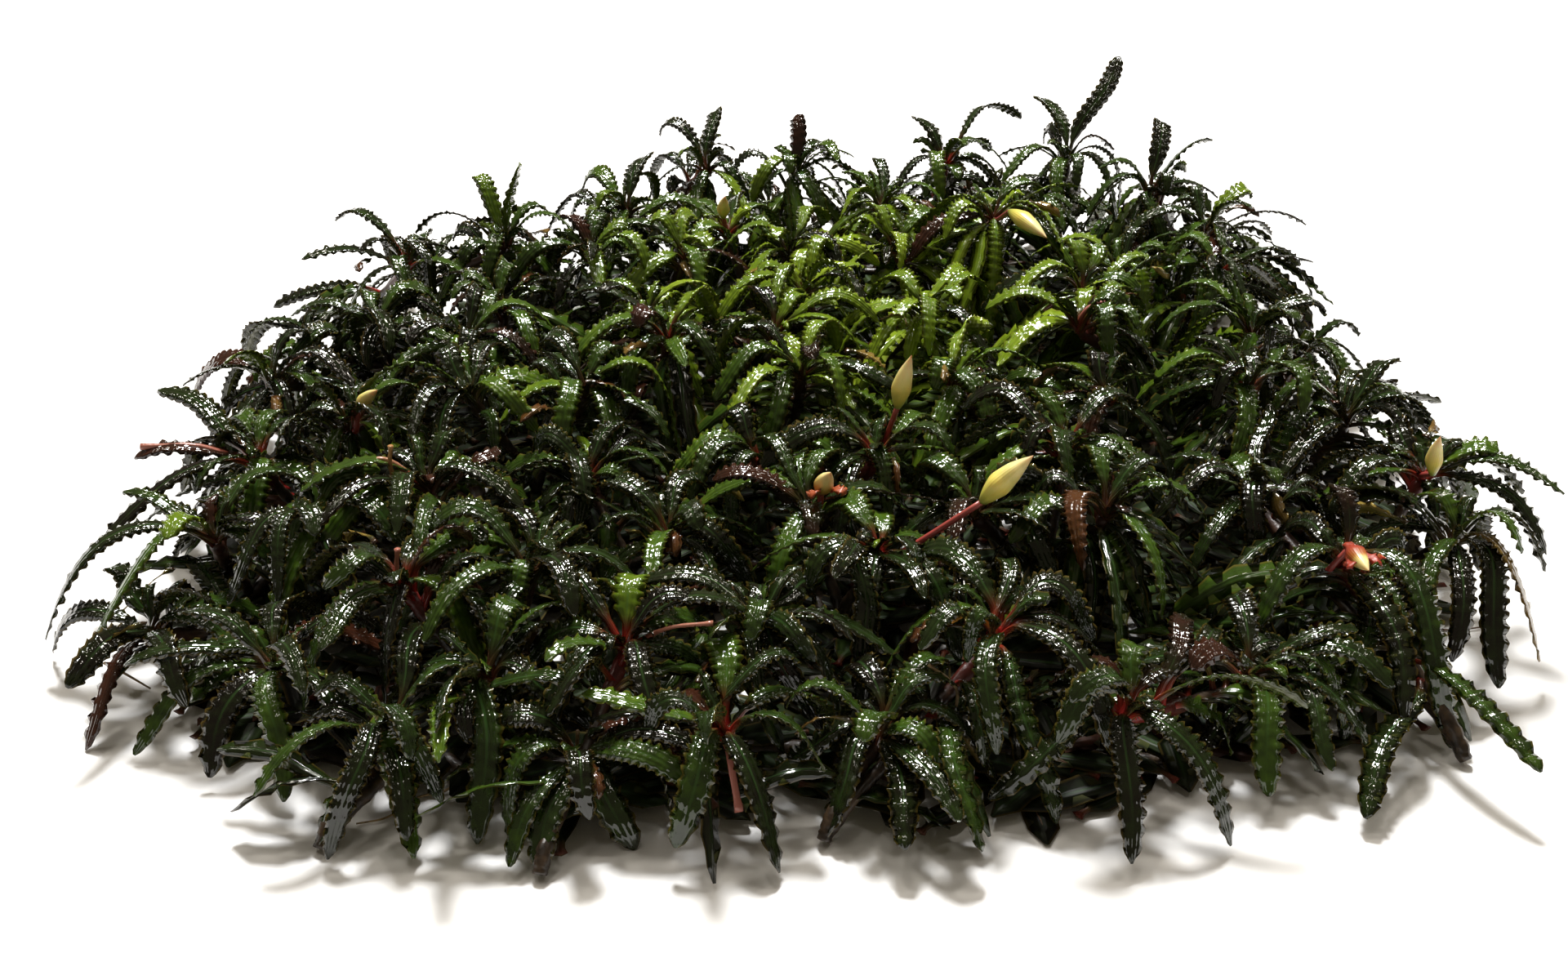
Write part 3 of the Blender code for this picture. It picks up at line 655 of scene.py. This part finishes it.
def added_leaf(base, azimuth, reach, rise, habit, chance, size=1):
    """A leaf without a solid, with its tip at some reach and rise from its base."""
    rise -= base.z * habit.hangs
    out = outward(azimuth)
    tip = base + out * reach + Vector((0, 0, rise))
    tip.z = max(tip.z, LOWEST_TIP)
    bend = base + out * reach * 0.45 + Vector((0, 0, size * chance.uniform(*habit.arch)))
    half = chance.uniform(*habit.half)
    return Leaf(base, bend, tip, half, math.radians(chance.uniform(-ADDED_ROLL, ADDED_ROLL)), Vector())


def young_leaf(habit, hub, crown, chance):
    """A short leaf that is still unfolding in the middle of its rosette."""
    azimuth = chance.uniform(0, math.tau)
    size = chance.uniform(*habit.foot)
    reach = size * chance.uniform(*habit.reach)
    return added_leaf(crown, azimuth, reach, size * habit.tip, habit, chance, size)


def stem_leaf(habit, hub, crown, chance):
    """A leaf from the top of a stem, or an older one that hangs to the ground."""
    base = hub.lerp(crown, chance.uniform(*habit.foot))
    azimuth = chance.uniform(0, math.tau)
    reach = chance.uniform(*habit.reach)
    return added_leaf(base, azimuth, reach, chance.uniform(*habit.tip), habit, chance)


def filling_leaf(hub, crown, azimuth, reach, chance):
    """A low leaf that reaches over a bare place beside its crown."""
    habit = FILLING_HABIT
    base = hub.lerp(crown, chance.uniform(*habit.foot))
    azimuth += chance.uniform(-0.25, 0.25)
    rise = chance.uniform(*habit.tip)
    return added_leaf(base, azimuth, reach + chance.uniform(*habit.reach), rise, habit, chance)


def ground_leaf(cell, heights, chance):
    """A flat old leaf that lies over a bare place, close to the ground."""
    azimuth = chance.uniform(0, math.tau)
    reach = chance.uniform(*GROUND_HABIT.reach)
    back = reach * 0.6
    base = Vector((cell[0] - back * math.cos(azimuth), cell[1] - back * math.sin(azimuth),
                   chance.uniform(*heights)))
    leaf = added_leaf(base, azimuth, reach, chance.uniform(*GROUND_HABIT.tip), GROUND_HABIT, chance)
    return leaf._replace(roll=leaf.roll * 0.3)


def settle(room, make, keep=True):
    """The first of some tries at a leaf that has room, or none; keep takes up its room."""
    for _ in range(TRIES):
        leaf = make()
        points, faces = probe(leaf)
        if room.free(points, faces):
            if keep:
                room.add(points, faces)
            return leaf
    return None


def grow_rosettes(plants, room, chance):
    """More leaves for every crown: long ones, low old ones and young ones."""
    for plant in plants:
        for leaves in plant.rosettes:
            crown = leaves[0].base
            for make, habit, kind, count in ((stem_leaf, SIDE_HABIT, SIDE, SIDE_LEAVES),
                                             (stem_leaf, LOW_HABIT, LOW, LOW_LEAVES),
                                             (young_leaf, YOUNG_HABIT, YOUNG, YOUNG_LEAVES)):
                for _ in range(count):
                    leaf = settle(room, lambda: make(habit, plant.hub, crown, chance))
                    if leaf:
                        plant.added.append((leaf, crown, kind))


class Cover:
    """A plan of the mat in small cells, with those that leaves cover below some height."""

    def __init__(self, low, high, height, cell):
        self.height = height
        self.cell = cell
        self.low = np.array(low[:2])
        self.size = np.ceil((np.array(high[:2]) - self.low) / cell).astype(int)
        self.covered = np.zeros(self.size, bool)

    def mark(self, leaf):
        for s in np.linspace(*COVER_PLACES):
            middle = leaf_place(leaf, s)
            if middle.z > self.height:
                continue
            along, side, normal = leaf_frame(leaf, s)
            for share in COVER_SHARES:
                point = np.array((middle + side * leaf.half * share)[:2])
                cell = np.clip(((point - self.low) / self.cell).astype(int), 0, self.size - 1)
                self.covered[tuple(cell)] = True

    def is_bare(self, place):
        return not self.covered[tuple(((place - self.low) / self.cell).astype(int))]

    def bare(self, chance):
        """The middles of the cells that no leaf covers, in a shuffled order."""
        cells = (np.argwhere(~self.covered) + 0.5) * self.cell + self.low
        order = list(range(len(cells)))
        chance.shuffle(order)
        return cells[order]


def cover_with(plants, low, high, height, cell):
    cover = Cover(low, high, height, cell)
    for plant in plants:
        for leaf in sum(plant.rosettes, []) + [leaf for leaf, crown, kind in plant.added]:
            cover.mark(leaf)
    return cover


def in_gap(cell):
    (x, y), radius = OPEN_GAP
    return math.hypot(cell[0] - x, cell[1] - y) < radius


def widest_gap(away):
    """The widest gap between directions, in degrees."""
    turns = np.sort(np.arctan2(away[:, 1], away[:, 0]))
    return math.degrees(max(np.diff(turns).max(), turns[0] + math.tau - turns[-1]))


def all_crowns(plants):
    crowns = [(plant, leaves[0].base) for plant in plants for leaves in plant.rosettes]
    return crowns, np.array([crown[:2] for plant, crown in crowns])


def fill_bare_ground(plants, room, cover, chance):
    """Low leaves from the nearest stems to the cells that would show the ground."""
    crowns, places = all_crowns(plants)
    for cell in cover.bare(chance):
        away = places - cell
        gaps = np.hypot(*away.T)
        near = np.argsort(gaps)[:FILL_CROWNS]
        widest = widest_gap(away[near])
        if gaps[near[0]] > BARE_REACH[1] or widest >= FILL_GAP or in_gap(cell):
            continue
        plant, crown = crowns[chance.choice(near[:2])]
        reach = math.hypot(cell[0] - crown.x, cell[1] - crown.y)
        if not BARE_REACH[0] < reach < BARE_REACH[1]:
            continue
        azimuth = math.atan2(cell[1] - crown.y, cell[0] - crown.x)
        leaf = settle(room, lambda: filling_leaf(plant.hub, crown, azimuth, reach, chance))
        if leaf:
            plant.added.append((leaf, crown, LOW if widest < INNER_GAP else RIM))
            cover.mark(leaf)


def cover_ground(plants, ground, cover, chance):
    """Flat leaves, low under the others, over the cells that nothing low covers."""
    crowns, places = all_crowns(plants)
    for cell in cover.bare(chance):
        away = places - cell
        near = np.argsort(np.hypot(*away.T))[:GROUND_CROWNS]
        if not cover.is_bare(cell) or in_gap(cell) or widest_gap(away[near]) >= GROUND_GAP:
            continue
        for heights in GROUND_HABIT.foot:
            leaf = settle(ground, lambda: ground_leaf(cell, heights, chance), keep=False)
            if leaf:
                plant, crown = crowns[near[0]]
                plant.added.append((leaf, crown, GROUND))
                cover.mark(leaf)
                break


def grow_leaves(plants, names, low, high, chance):
    room = Room(low, high)
    ground = Room(low, high)
    for name in names:
        add_solids(room, name)
        add_solids(ground, name)
    grow_rosettes(plants, room, chance)
    cover = cover_with(plants, low, high, high[2], CELL)
    for _ in range(FILL_ROUNDS):
        fill_bare_ground(plants, room, cover, chance)
    cover_ground(plants, ground, cover_with(plants, low, high, GROUND_HEIGHT, GROUND_CELL), chance)


# Pieces

def add_stem(surface, hub, crown, red, chance):
    """A knobbly stem with the scars of fallen leaves, from its hub to its crown."""
    middle = hub.lerp(crown, 0.5) + shifted(chance, 1, 0)
    foot = hub - Vector((0, 0, HUB_RISE + 0.4))
    path = smooth_path((foot, hub.lerp(middle, 0.3), middle, crown), 9)
    t = np.linspace(0, 1, len(path))
    length = (crown - hub).length
    scars = STEM_SCARS * np.abs(np.sin(math.pi * t * length / 2.3 + chance.random()))
    radii = STEM_RADIUS + scars + 0.35 * (t > 0.85) - 0.8 * (t > 0.98)
    uneven = lumps(len(path), STEM_SIDES, 0.86, 1.14, chance)
    surface.add(tube(path, radii[:, None] * uneven, STEM_SIDES), 1, along=t[:, None], red=red)


def redness(crown, chance):
    """How red a rosette's leaf stalks are."""
    if any(math.hypot(crown.x - x, crown.y - y) < RED_NEAR for x, y in RED_CROWNS):
        return 1.0
    return chance.uniform(*(SOME_RED if chance.random() < SOME_RED_SHARE else LITTLE_RED))


def make_plant(plant, materials, chance):
    """A plant's stems and leaves; those deep in the mat are coarser and duller, and painted darker as
    shade.
    """
    surface = Surface()
    reds = {}
    marks = {tip: (age, tone) for tip, age, tone in MARKED_LEAVES}
    for leaves in plant.rosettes:
        crown = leaves[0].base
        red = reds[tuple(crown)] = redness(crown, chance)
        add_stem(surface, plant.hub, crown, red, chance)
        for leaf in leaves:
            plain = (leaf_age(chance), leaf_tone(leaf.tip, chance))
            age, tone = marks.get((round(leaf.tip.x), round(leaf.tip.y)), plain)
            add_leaf(surface, leaf, chance, GROWN, tone=tone, age=age, red=red, dull=GROWN.dull)
    for leaf, crown, kind in plant.added:
        red = reds[tuple(crown)] * (HIDDEN_RED if kind in (LOW, GROUND) else 1)
        # The low and ground leaves are darkened by their kind's light: painted shade deep in the mat
        add_leaf(surface, leaf, chance, kind, tone=leaf_tone(leaf.tip, chance) * kind.light,
                 age=leaf_age(chance), red=red, dull=kind.dull)
    piece = surface.to_object(plant.node + "_foliage", materials)
    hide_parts(plant.node)
    return finish_piece(piece)


def finish_piece(piece):
    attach(piece, "root")
    return piece


def make_rhizome(node, materials, chance):
    """A creeping stem with ring scars and a blunt growing tip."""
    path = smooth_path([point + shifted(chance, 1, 1.95) for point in read_course(node)], 16)
    count = len(path)
    t = np.linspace(0, 1, count)
    ends = np.minimum(1, np.minimum(t, 1 - t) * count / 5 + 0.35)
    radii = (BARK_RADIUS + BARK_SCARS * np.sin(np.arange(count) * 1.7 + chance.random())) * ends
    uneven = lumps(count, BARK_SIDES, 0.9, 1.1, chance)
    rings = above_ground(tube(path, radii[:, None] * uneven, BARK_SIDES, flat=0.85))
    surface = Surface()
    surface.add(rings, 0, along=t[:, None], tone=chance.random())
    piece = surface.to_object(node + "_bark", materials)
    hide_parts(node)
    finish_piece(piece)
    return path


def scattered_scraps(plants, chance):
    """Small withered leaves beside some of the crowns, in the form of WITHERED."""
    crowns = [leaves[0].base for plant in plants for leaves in plant.rosettes]
    scraps = []
    for crown in chance.sample(crowns, SCRAPS):
        turn = chance.uniform(0, math.tau)
        base = crown + outward(turn, chance.uniform(*SCRAP_REACH), chance.uniform(2, 9))
        turn += chance.uniform(-1.2, 1.2)
        tip = base + outward(turn, chance.uniform(*SCRAP_LENGTH), chance.uniform(-6, 1))
        tip.z = max(tip.z, 1)
        scraps.append((base, tip, chance.uniform(1.5, 2.6), chance.uniform(*SCRAP_AGE)))
    return scraps


def make_withered(plants, materials, chance):
    """Small curled leaves that have died back, and the bare stalks of others."""
    surface = Surface()
    for base, tip, half, age in (*WITHERED, *scattered_scraps(plants, chance)):
        base, tip = Vector(base), Vector(tip)
        bend = base.lerp(tip, 0.5) + shifted(chance, 3, 4)
        leaf = Leaf(base, bend, tip, half, math.radians(chance.uniform(-60, 60)), Vector())
        add_leaf(surface, leaf, chance, YOUNG, age=age, tone=0.5, red=0.0)
    for points, radius, tone in BARE_STALKS:
        course = smooth_path(points, 10)
        t = np.linspace(0, 1, len(course))
        worn = 1 - 0.35 * eased(t, 0.1, 0.6) + 0.3 * eased(t, 0.85, 1)
        uneven = lumps(len(t), BARK_SIDES, 0.88, 1.12, chance)
        surface.add(tube(course, (radius * worn)[:, None] * uneven, BARK_SIDES, flat=0.8), 1,
                    along=t[:, None], tone=tone)
    return finish_piece(surface.to_object("withered_leaves", materials))


def add_root(surface, course, radius, tone):
    t = np.linspace(0, 1, len(course))
    rings = above_ground(tube(course, radius * (1 - 0.45 * t), 6))
    surface.add(rings, 0, along=t[:, None], tone=tone)


def wandering(start, chance):
    """The course of a root that sinks to the ground and turns a little at each step."""
    heading = chance.uniform(0, math.tau)
    points = [Vector(start)]
    for _ in range(ROOT_STEPS):
        heading += chance.uniform(-0.7, 0.7)
        last = points[-1]
        reach = chance.uniform(3, 8)
        height = max(0.35, last.z - chance.uniform(0.5, 1.6)) + chance.uniform(0, 0.6)
        points.append(Vector((last.x + reach * math.cos(heading),
                              last.y + reach * math.sin(heading), height)))
    return smooth_path(points, 5)


def make_roots(paths, materials, low, high, chance):
    """Thin roots: those of the photo, and more that leave the creeping stems."""
    surface = Surface()
    for points in SEEN_ROOTS:
        add_root(surface, smooth_path(points, 8), SEEN_ROOT_RADIUS, chance.uniform(0.6, 0.9))
    for path in paths:
        for place in path[4:-2:ROOT_SPACING]:
            course = wandering(place, chance)
            course[:, :2] = np.clip(course[:, :2], low[:2] + 1, high[:2] - 1)
            add_root(surface, course, ROOT_RADIUS, chance.random())
    return finish_piece(surface.to_object("thin_roots", materials))


def add_spathe(surface, course, red, chance):
    """A spathe that swells as its solid does, with a long fold down one side."""
    start, tip = course[0][0], course[-1][0]
    t = np.linspace(0, 1, SPATHE_RINGS)
    shares = [(place - start).length / (tip - start).length for place, radius in course]
    swell = smooth_profile(shares, [radius for place, radius in course], t)
    way = np.array(tip - start)
    bow = unit(np.cross(way, np.array((0.2, 1, 0.3))))
    path = np.array(start) + t[:, None] * way + bow * (np.sin(t * math.pi) * 0.35)[:, None]
    turns = np.arange(SPATHE_SIDES) * math.tau / SPATHE_SIDES
    folds = sum(out * np.exp(-((turns - turn) / width) ** 2) for turn, width, out in SPATHE_FOLDS)
    red = red * (1 - eased(t, 0.2, 0.9))
    surface.add(tube(path, swell[:, None] * (1 + folds), SPATHE_SIDES), 0, along=t[:, None],
                across=turns / math.tau, tone=chance.random(), red=red[:, None])


def make_bud(node, materials, chance):
    """A flower bud: a red stalk and a waxy spathe; one that has begun to open has torn bracts."""
    course = read_bud(node)
    red = RED_BUDS.get(node, 0.0)
    stalk = smooth_path([place for place, radius in course[:3]], 8)
    t = np.linspace(0, 1, len(stalk))
    surface = Surface()
    surface.add(tube(stalk, BUD_STALK + 0.12 * (1 - t), 10), 1, along=t[:, None], tone=chance.random())
    add_spathe(surface, course[2:], red, chance)
    if red:
        for turn in BRACT_TURNS:
            add_bract(surface, course[2][0], course[-1][0], turn, red, chance)
    piece = surface.to_object(node + "_spathe", materials)
    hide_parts(node)
    return finish_piece(piece)


def add_bract(surface, start, tip, turn, red, chance):
    """A torn bract that has folded back from the foot of a spathe."""
    out = outward(turn) * BRACT_REACH
    way = tip - start
    leaf = Leaf(start - way * 0.1, start + out * 0.6 + way * 0.6, start + out + way * 0.25, BRACT_HALF,
                chance.uniform(-0.5, 0.5), Vector())
    add_leaf(surface, leaf, chance, SIDE, red=red + 0.3)


def smooth_profile(places, values, t):
    """Values between places, rounded off as a swelling bud is."""
    fine = np.interp(t, places, values)
    for _ in range(3):
        fine[1:-1] = (fine[:-2] + 2 * fine[1:-1] + fine[2:]) / 4
    return np.maximum(fine, 0.06)


# Materials

class Graph:
    """A material's nodes, added and linked in short calls."""

    def __init__(self, name):
        self.material = bpy.data.materials.new(name)
        self.material.use_nodes = True
        self.tree = self.material.node_tree
        self.shader = self.tree.nodes["Principled BSDF"]

    def put(self, socket, value):
        if isinstance(value, bpy.types.NodeSocket):
            self.tree.links.new(value, socket)
        else:
            socket.default_value = value

    def set(self, **values):
        for name, value in values.items():
            self.put(self.shader.inputs[name.replace("_", " ")], value)

    def value(self, name):
        node = self.tree.nodes.new("ShaderNodeAttribute")
        node.attribute_name = name
        return node.outputs["Fac"]

    def fill(self, node, *values):
        for socket, value in zip(node.inputs, values):
            self.put(socket, value)
        return node.outputs[0]

    def math(self, operation, *values):
        node = self.tree.nodes.new("ShaderNodeMath")
        node.operation = operation
        return self.fill(node, *values)

    def times(self, a, b):
        return self.math("MULTIPLY", a, b)

    def uneven(self, name, scale, amount):
        """A value of the mesh with some noise round it."""
        noise = self.math("SUBTRACT", self.noise(scale), 0.5)
        return self.math("ADD", self.value(name), self.times(noise, amount))

    def spread(self, value, low, high, bottom=0.0, top=1.0):
        """Value from low to high, spread smoothly from bottom to top."""
        node = self.tree.nodes.new("ShaderNodeMapRange")
        node.interpolation_type = "SMOOTHSTEP"
        return self.fill(node, value, low, high, bottom, top)

    def mix(self, share, a, b):
        node = self.tree.nodes.new("ShaderNodeMix")
        node.data_type = "RGBA"
        self.put(node.inputs[0], share)
        self.put(node.inputs[6], a)
        self.put(node.inputs[7], b)
        return node.outputs[2]

    def ramp(self, value, *stops):
        node = self.tree.nodes.new("ShaderNodeValToRGB")
        self.put(node.inputs[0], value)
        points = node.color_ramp.elements
        while len(points) < len(stops):
            points.new(0.5)
        for point, (place, colour) in zip(points, stops):
            point.position = place
            point.color = (*colour, 1)
        return node.outputs[0]

    def joined(self, *values):
        return self.fill(self.tree.nodes.new("ShaderNodeCombineXYZ"), *values)

    def noise(self, scale, detail=3.0, place=None):
        node = self.tree.nodes.new("ShaderNodeTexNoise")
        place = place or self.tree.nodes.new("ShaderNodeTexCoord").outputs["Object"]
        self.put(node.inputs["Vector"], place)
        self.put(node.inputs["Scale"], scale)
        self.put(node.inputs["Detail"], detail)
        return node.outputs[0]

    def bump(self, height, strength, distance):
        node = self.tree.nodes.new("ShaderNodeBump")
        self.put(node.inputs["Height"], height)
        self.put(node.inputs["Strength"], strength)
        self.put(node.inputs["Distance"], distance)
        self.put(self.shader.inputs["Normal"], node.outputs[0])


def rgb(*values):
    return (*values, 1)


def blade_colour(graph, along, across):
    """Green by tone, paler at the midrib and margin, and red-brown or yellow where a leaf is old."""
    green = graph.ramp(graph.uneven("tone", 320, 0.35),
                       (0, (0.006, 0.005, 0.003)), (0.22, (0.014, 0.025, 0.005)),
                       (0.45, (0.048, 0.092, 0.008)), (0.75, (0.17, 0.25, 0.012)), (1, (0.3, 0.4, 0.03)))
    rib = graph.times(graph.spread(across, 0.14, 0.02), graph.spread(along, 0.98, 0.5))
    green = graph.mix(graph.times(rib, 0.35), green, rgb(0.05, 0.12, 0.03))
    green = graph.mix(graph.spread(across, 0.74, 1.0, 0, 0.5), green, rgb(0.13, 0.085, 0.016))
    age = graph.uneven("age", 140, 0.3)
    old = graph.ramp(age, (0.3, (0.014, 0.008, 0.005)), (0.5, (0.045, 0.014, 0.007)),
                     (0.72, (0.095, 0.038, 0.011)), (0.95, (0.33, 0.24, 0.05)))
    return graph.mix(graph.spread(age, 0.2, 0.38), green, old)


def petiole_colour(graph, along):
    """Red at the foot, for the rosettes that are red, and brown for the others."""
    red = graph.ramp(along, (0, (0.38, 0.02, 0.02)), (0.1, (0.24, 0.026, 0.014)),
                     (0.2, (0.09, 0.03, 0.012)), (0.3, (0.02, 0.05, 0.012)))
    plain = graph.ramp(along, (0, (0.05, 0.02, 0.01)), (0.15, (0.03, 0.035, 0.01)),
                       (0.3, (0.015, 0.05, 0.012)))
    return graph.mix(graph.value("red"), plain, red)


def leaf_material():
    """Wet leaves with fine veins under an uneven film of water; dull ones are hardly wet."""
    graph = Graph("wet_leaf")
    along = graph.value("along")
    side = graph.value("across")
    across = graph.math("ABSOLUTE", side)
    colour = graph.mix(graph.spread(along, 0.3, 0.1), blade_colour(graph, along, across),
                       petiole_colour(graph, along))
    colour = graph.mix(graph.times(graph.value("under"), 0.55), colour, rgb(0.09, 0.09, 0.025))
    veins = graph.math("COSINE", graph.times(across, 15.0))
    film = graph.noise(1, 1, graph.joined(graph.times(along, 4.5), graph.times(side, 2.6),
                                          graph.times(graph.value("tone"), 90.0)))
    graph.bump(graph.math("ADD", graph.times(veins, 0.4), graph.times(film, 0.7)), 0.35, 0.0003)
    dull = graph.value("dull")
    gloss = graph.spread(graph.noise(500), 0.3, 0.7, 0.035, 0.07)
    graph.set(Base_Color=colour, Roughness=graph.math("ADD", gloss, graph.times(dull, 0.4)),
              Specular_IOR_Level=graph.spread(dull, 0.0, 1.0, 0.6, 0.15))
    return graph.material


def stem_material():
    """Dark brown bark, red at the top where the rosette is red."""
    graph = Graph("stem_skin")
    patch = graph.noise(420, 4)
    colour = graph.ramp(patch, (0.3, (0.012, 0.008, 0.005)), (0.5, (0.03, 0.018, 0.009)),
                        (0.75, (0.08, 0.045, 0.02)))
    red = graph.times(graph.spread(graph.value("along"), 0.75, 1.0), graph.value("red"))
    colour = graph.mix(red, colour, rgb(0.16, 0.014, 0.01))
    graph.bump(graph.noise(800, 4), 0.5, 0.0004)
    graph.set(Base_Color=colour, Roughness=graph.spread(patch, 0.3, 0.8, 0.3, 0.5))
    return graph.material


def root_material():
    graph = Graph("root_skin")
    colour = graph.ramp(graph.value("tone"), (0, (0.05, 0.022, 0.01)), (0.6, (0.17, 0.09, 0.035)),
                        (1, (0.42, 0.3, 0.14)))
    colour = graph.mix(graph.spread(graph.noise(600), 0.35, 0.7, 0, 0.6), colour, rgb(0.04, 0.02, 0.01))
    graph.bump(graph.noise(900, 4), 0.5, 0.0003)
    graph.set(Base_Color=colour, Roughness=0.5)
    return graph.material


def spathe_material():
    """Cream yellow wax with fine streaks, green at its foot; an opening one is red."""
    graph = Graph("spathe_wax")
    colour = graph.ramp(graph.value("along"), (0, (0.2, 0.24, 0.03)), (0.14, (0.6, 0.55, 0.08)),
                        (0.4, (0.92, 0.76, 0.16)), (0.75, (0.97, 0.85, 0.36)),
                        (0.96, (0.8, 0.56, 0.26)), (1, (0.25, 0.08, 0.03)))
    streak = graph.math("SINE", graph.times(graph.value("across"), 150.0))
    colour = graph.mix(graph.spread(graph.noise(260), 0.4, 0.75, 0, 0.35), colour, rgb(0.5, 0.46, 0.1))
    warm = graph.ramp(graph.value("red"), (0, (0.7, 0.45, 0.08)), (0.45, (0.4, 0.14, 0.025)),
                      (0.9, (0.34, 0.045, 0.022)))
    colour = graph.mix(graph.spread(graph.value("red"), 0.0, 0.5), colour, warm)
    graph.bump(streak, 0.12, 0.0002)
    graph.set(Base_Color=colour, Roughness=0.34, Subsurface_Weight=0.25, Subsurface_Scale=0.002)
    return graph.material


def bare_stalk_material():
    """Old stalks: red where they join the crown, then pink, tan or orange."""
    graph = Graph("bare_stalk_skin")
    far = graph.ramp(graph.value("tone"), (0, (0.4, 0.13, 0.1)), (0.5, (0.36, 0.2, 0.09)),
                     (1, (0.6, 0.26, 0.03)))
    colour = graph.mix(graph.spread(graph.value("along"), 0.0, 0.5), rgb(0.26, 0.02, 0.014), far)
    graph.bump(graph.noise(700, 3), 0.4, 0.0003)
    graph.set(Base_Color=colour, Roughness=0.25)
    return graph.material


def stalk_material():
    graph = Graph("stalk_skin")
    colour = graph.ramp(graph.value("along"), (0, (0.2, 0.014, 0.012)), (0.5, (0.3, 0.035, 0.03)),
                        (1, (0.42, 0.09, 0.07)))
    graph.bump(graph.noise(700, 3), 0.3, 0.0002)
    graph.set(Base_Color=colour, Roughness=0.3)
    return graph.material


# Stage

def make_floor():
    mesh = bpy.data.meshes.new("floor")
    half = FLOOR_SIZE / 2 * MM
    mesh.from_pydata([(-half, -half, 0), (half, -half, 0), (half, half, 0), (-half, half, 0)], [],
                     [(0, 1, 2, 3)])
    graph = Graph("pale_floor")
    graph.set(Base_Color=rgb(*FLOOR_COLOUR), Roughness=0.8, Specular_IOR_Level=0.1)
    mesh.materials.append(graph.material)
    floor = new_object("floor", mesh)


def add_sun(name, place, power, angle, colour):
    """A lamp that shines from a place to the origin."""
    light = bpy.data.lights.new(name, "SUN")
    light.energy = power
    light.color = colour
    light.angle = math.radians(angle)
    lamp = new_object(name, light)
    lamp.location = Vector(place) * MM
    lamp.rotation_euler = (-Vector(place)).to_track_quat("-Z", "Y").to_euler()


def make_light():
    world = bpy.data.worlds.new("soft_room")
    world.use_nodes = True
    background = world.node_tree.nodes["Background"]
    background.inputs["Color"].default_value = WORLD_COLOUR
    background.inputs["Strength"].default_value = WORLD_STRENGTH
    bpy.context.scene.world = world
    add_sun("key", *KEY, KEY_ANGLE, KEY_COLOUR)
    for number, (place, power) in enumerate(FILLS):
        add_sun("fill_%d" % number, place, power, FILL_ANGLE, FILL_COLOUR)


def make_camera():
    camera = new_object("camera", bpy.data.cameras.new("camera"))
    camera.location = Vector(CAMERA_PLACE) * MM
    camera.rotation_euler = (math.radians(90 - CAMERA_PITCH), 0, 0)
    camera.data.lens = LENS
    camera.data.clip_start = NEAREST_SEEN * MM
    bpy.context.scene.camera = camera


def main():
    chance = random.Random(SEED)
    names = sorted(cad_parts)
    foliage = [leaf_material(), stem_material()]
    bark = [stem_material()]
    flower = [spathe_material(), stalk_material()]
    low, high = (np.array(corner) / MM for corner in solid_box)
    plants = [read_plant(name) for name in names if name.startswith("plant")]
    grow_leaves(plants, names, low, high, chance)
    for plant in plants:
        make_plant(plant, foliage, chance)
    for name in names:
        if name.startswith("flower"):
            make_bud(name, flower, chance)
    paths = [make_rhizome(name, bark, chance) for name in names if name.startswith("rhizome")]
    make_roots(paths, [root_material()], low, high, chance)
    make_withered(plants, [foliage[0], bare_stalk_material()], chance)
    make_floor()
    make_light()
    make_camera()
    bpy.context.scene.view_settings.view_transform = "Standard"


main()
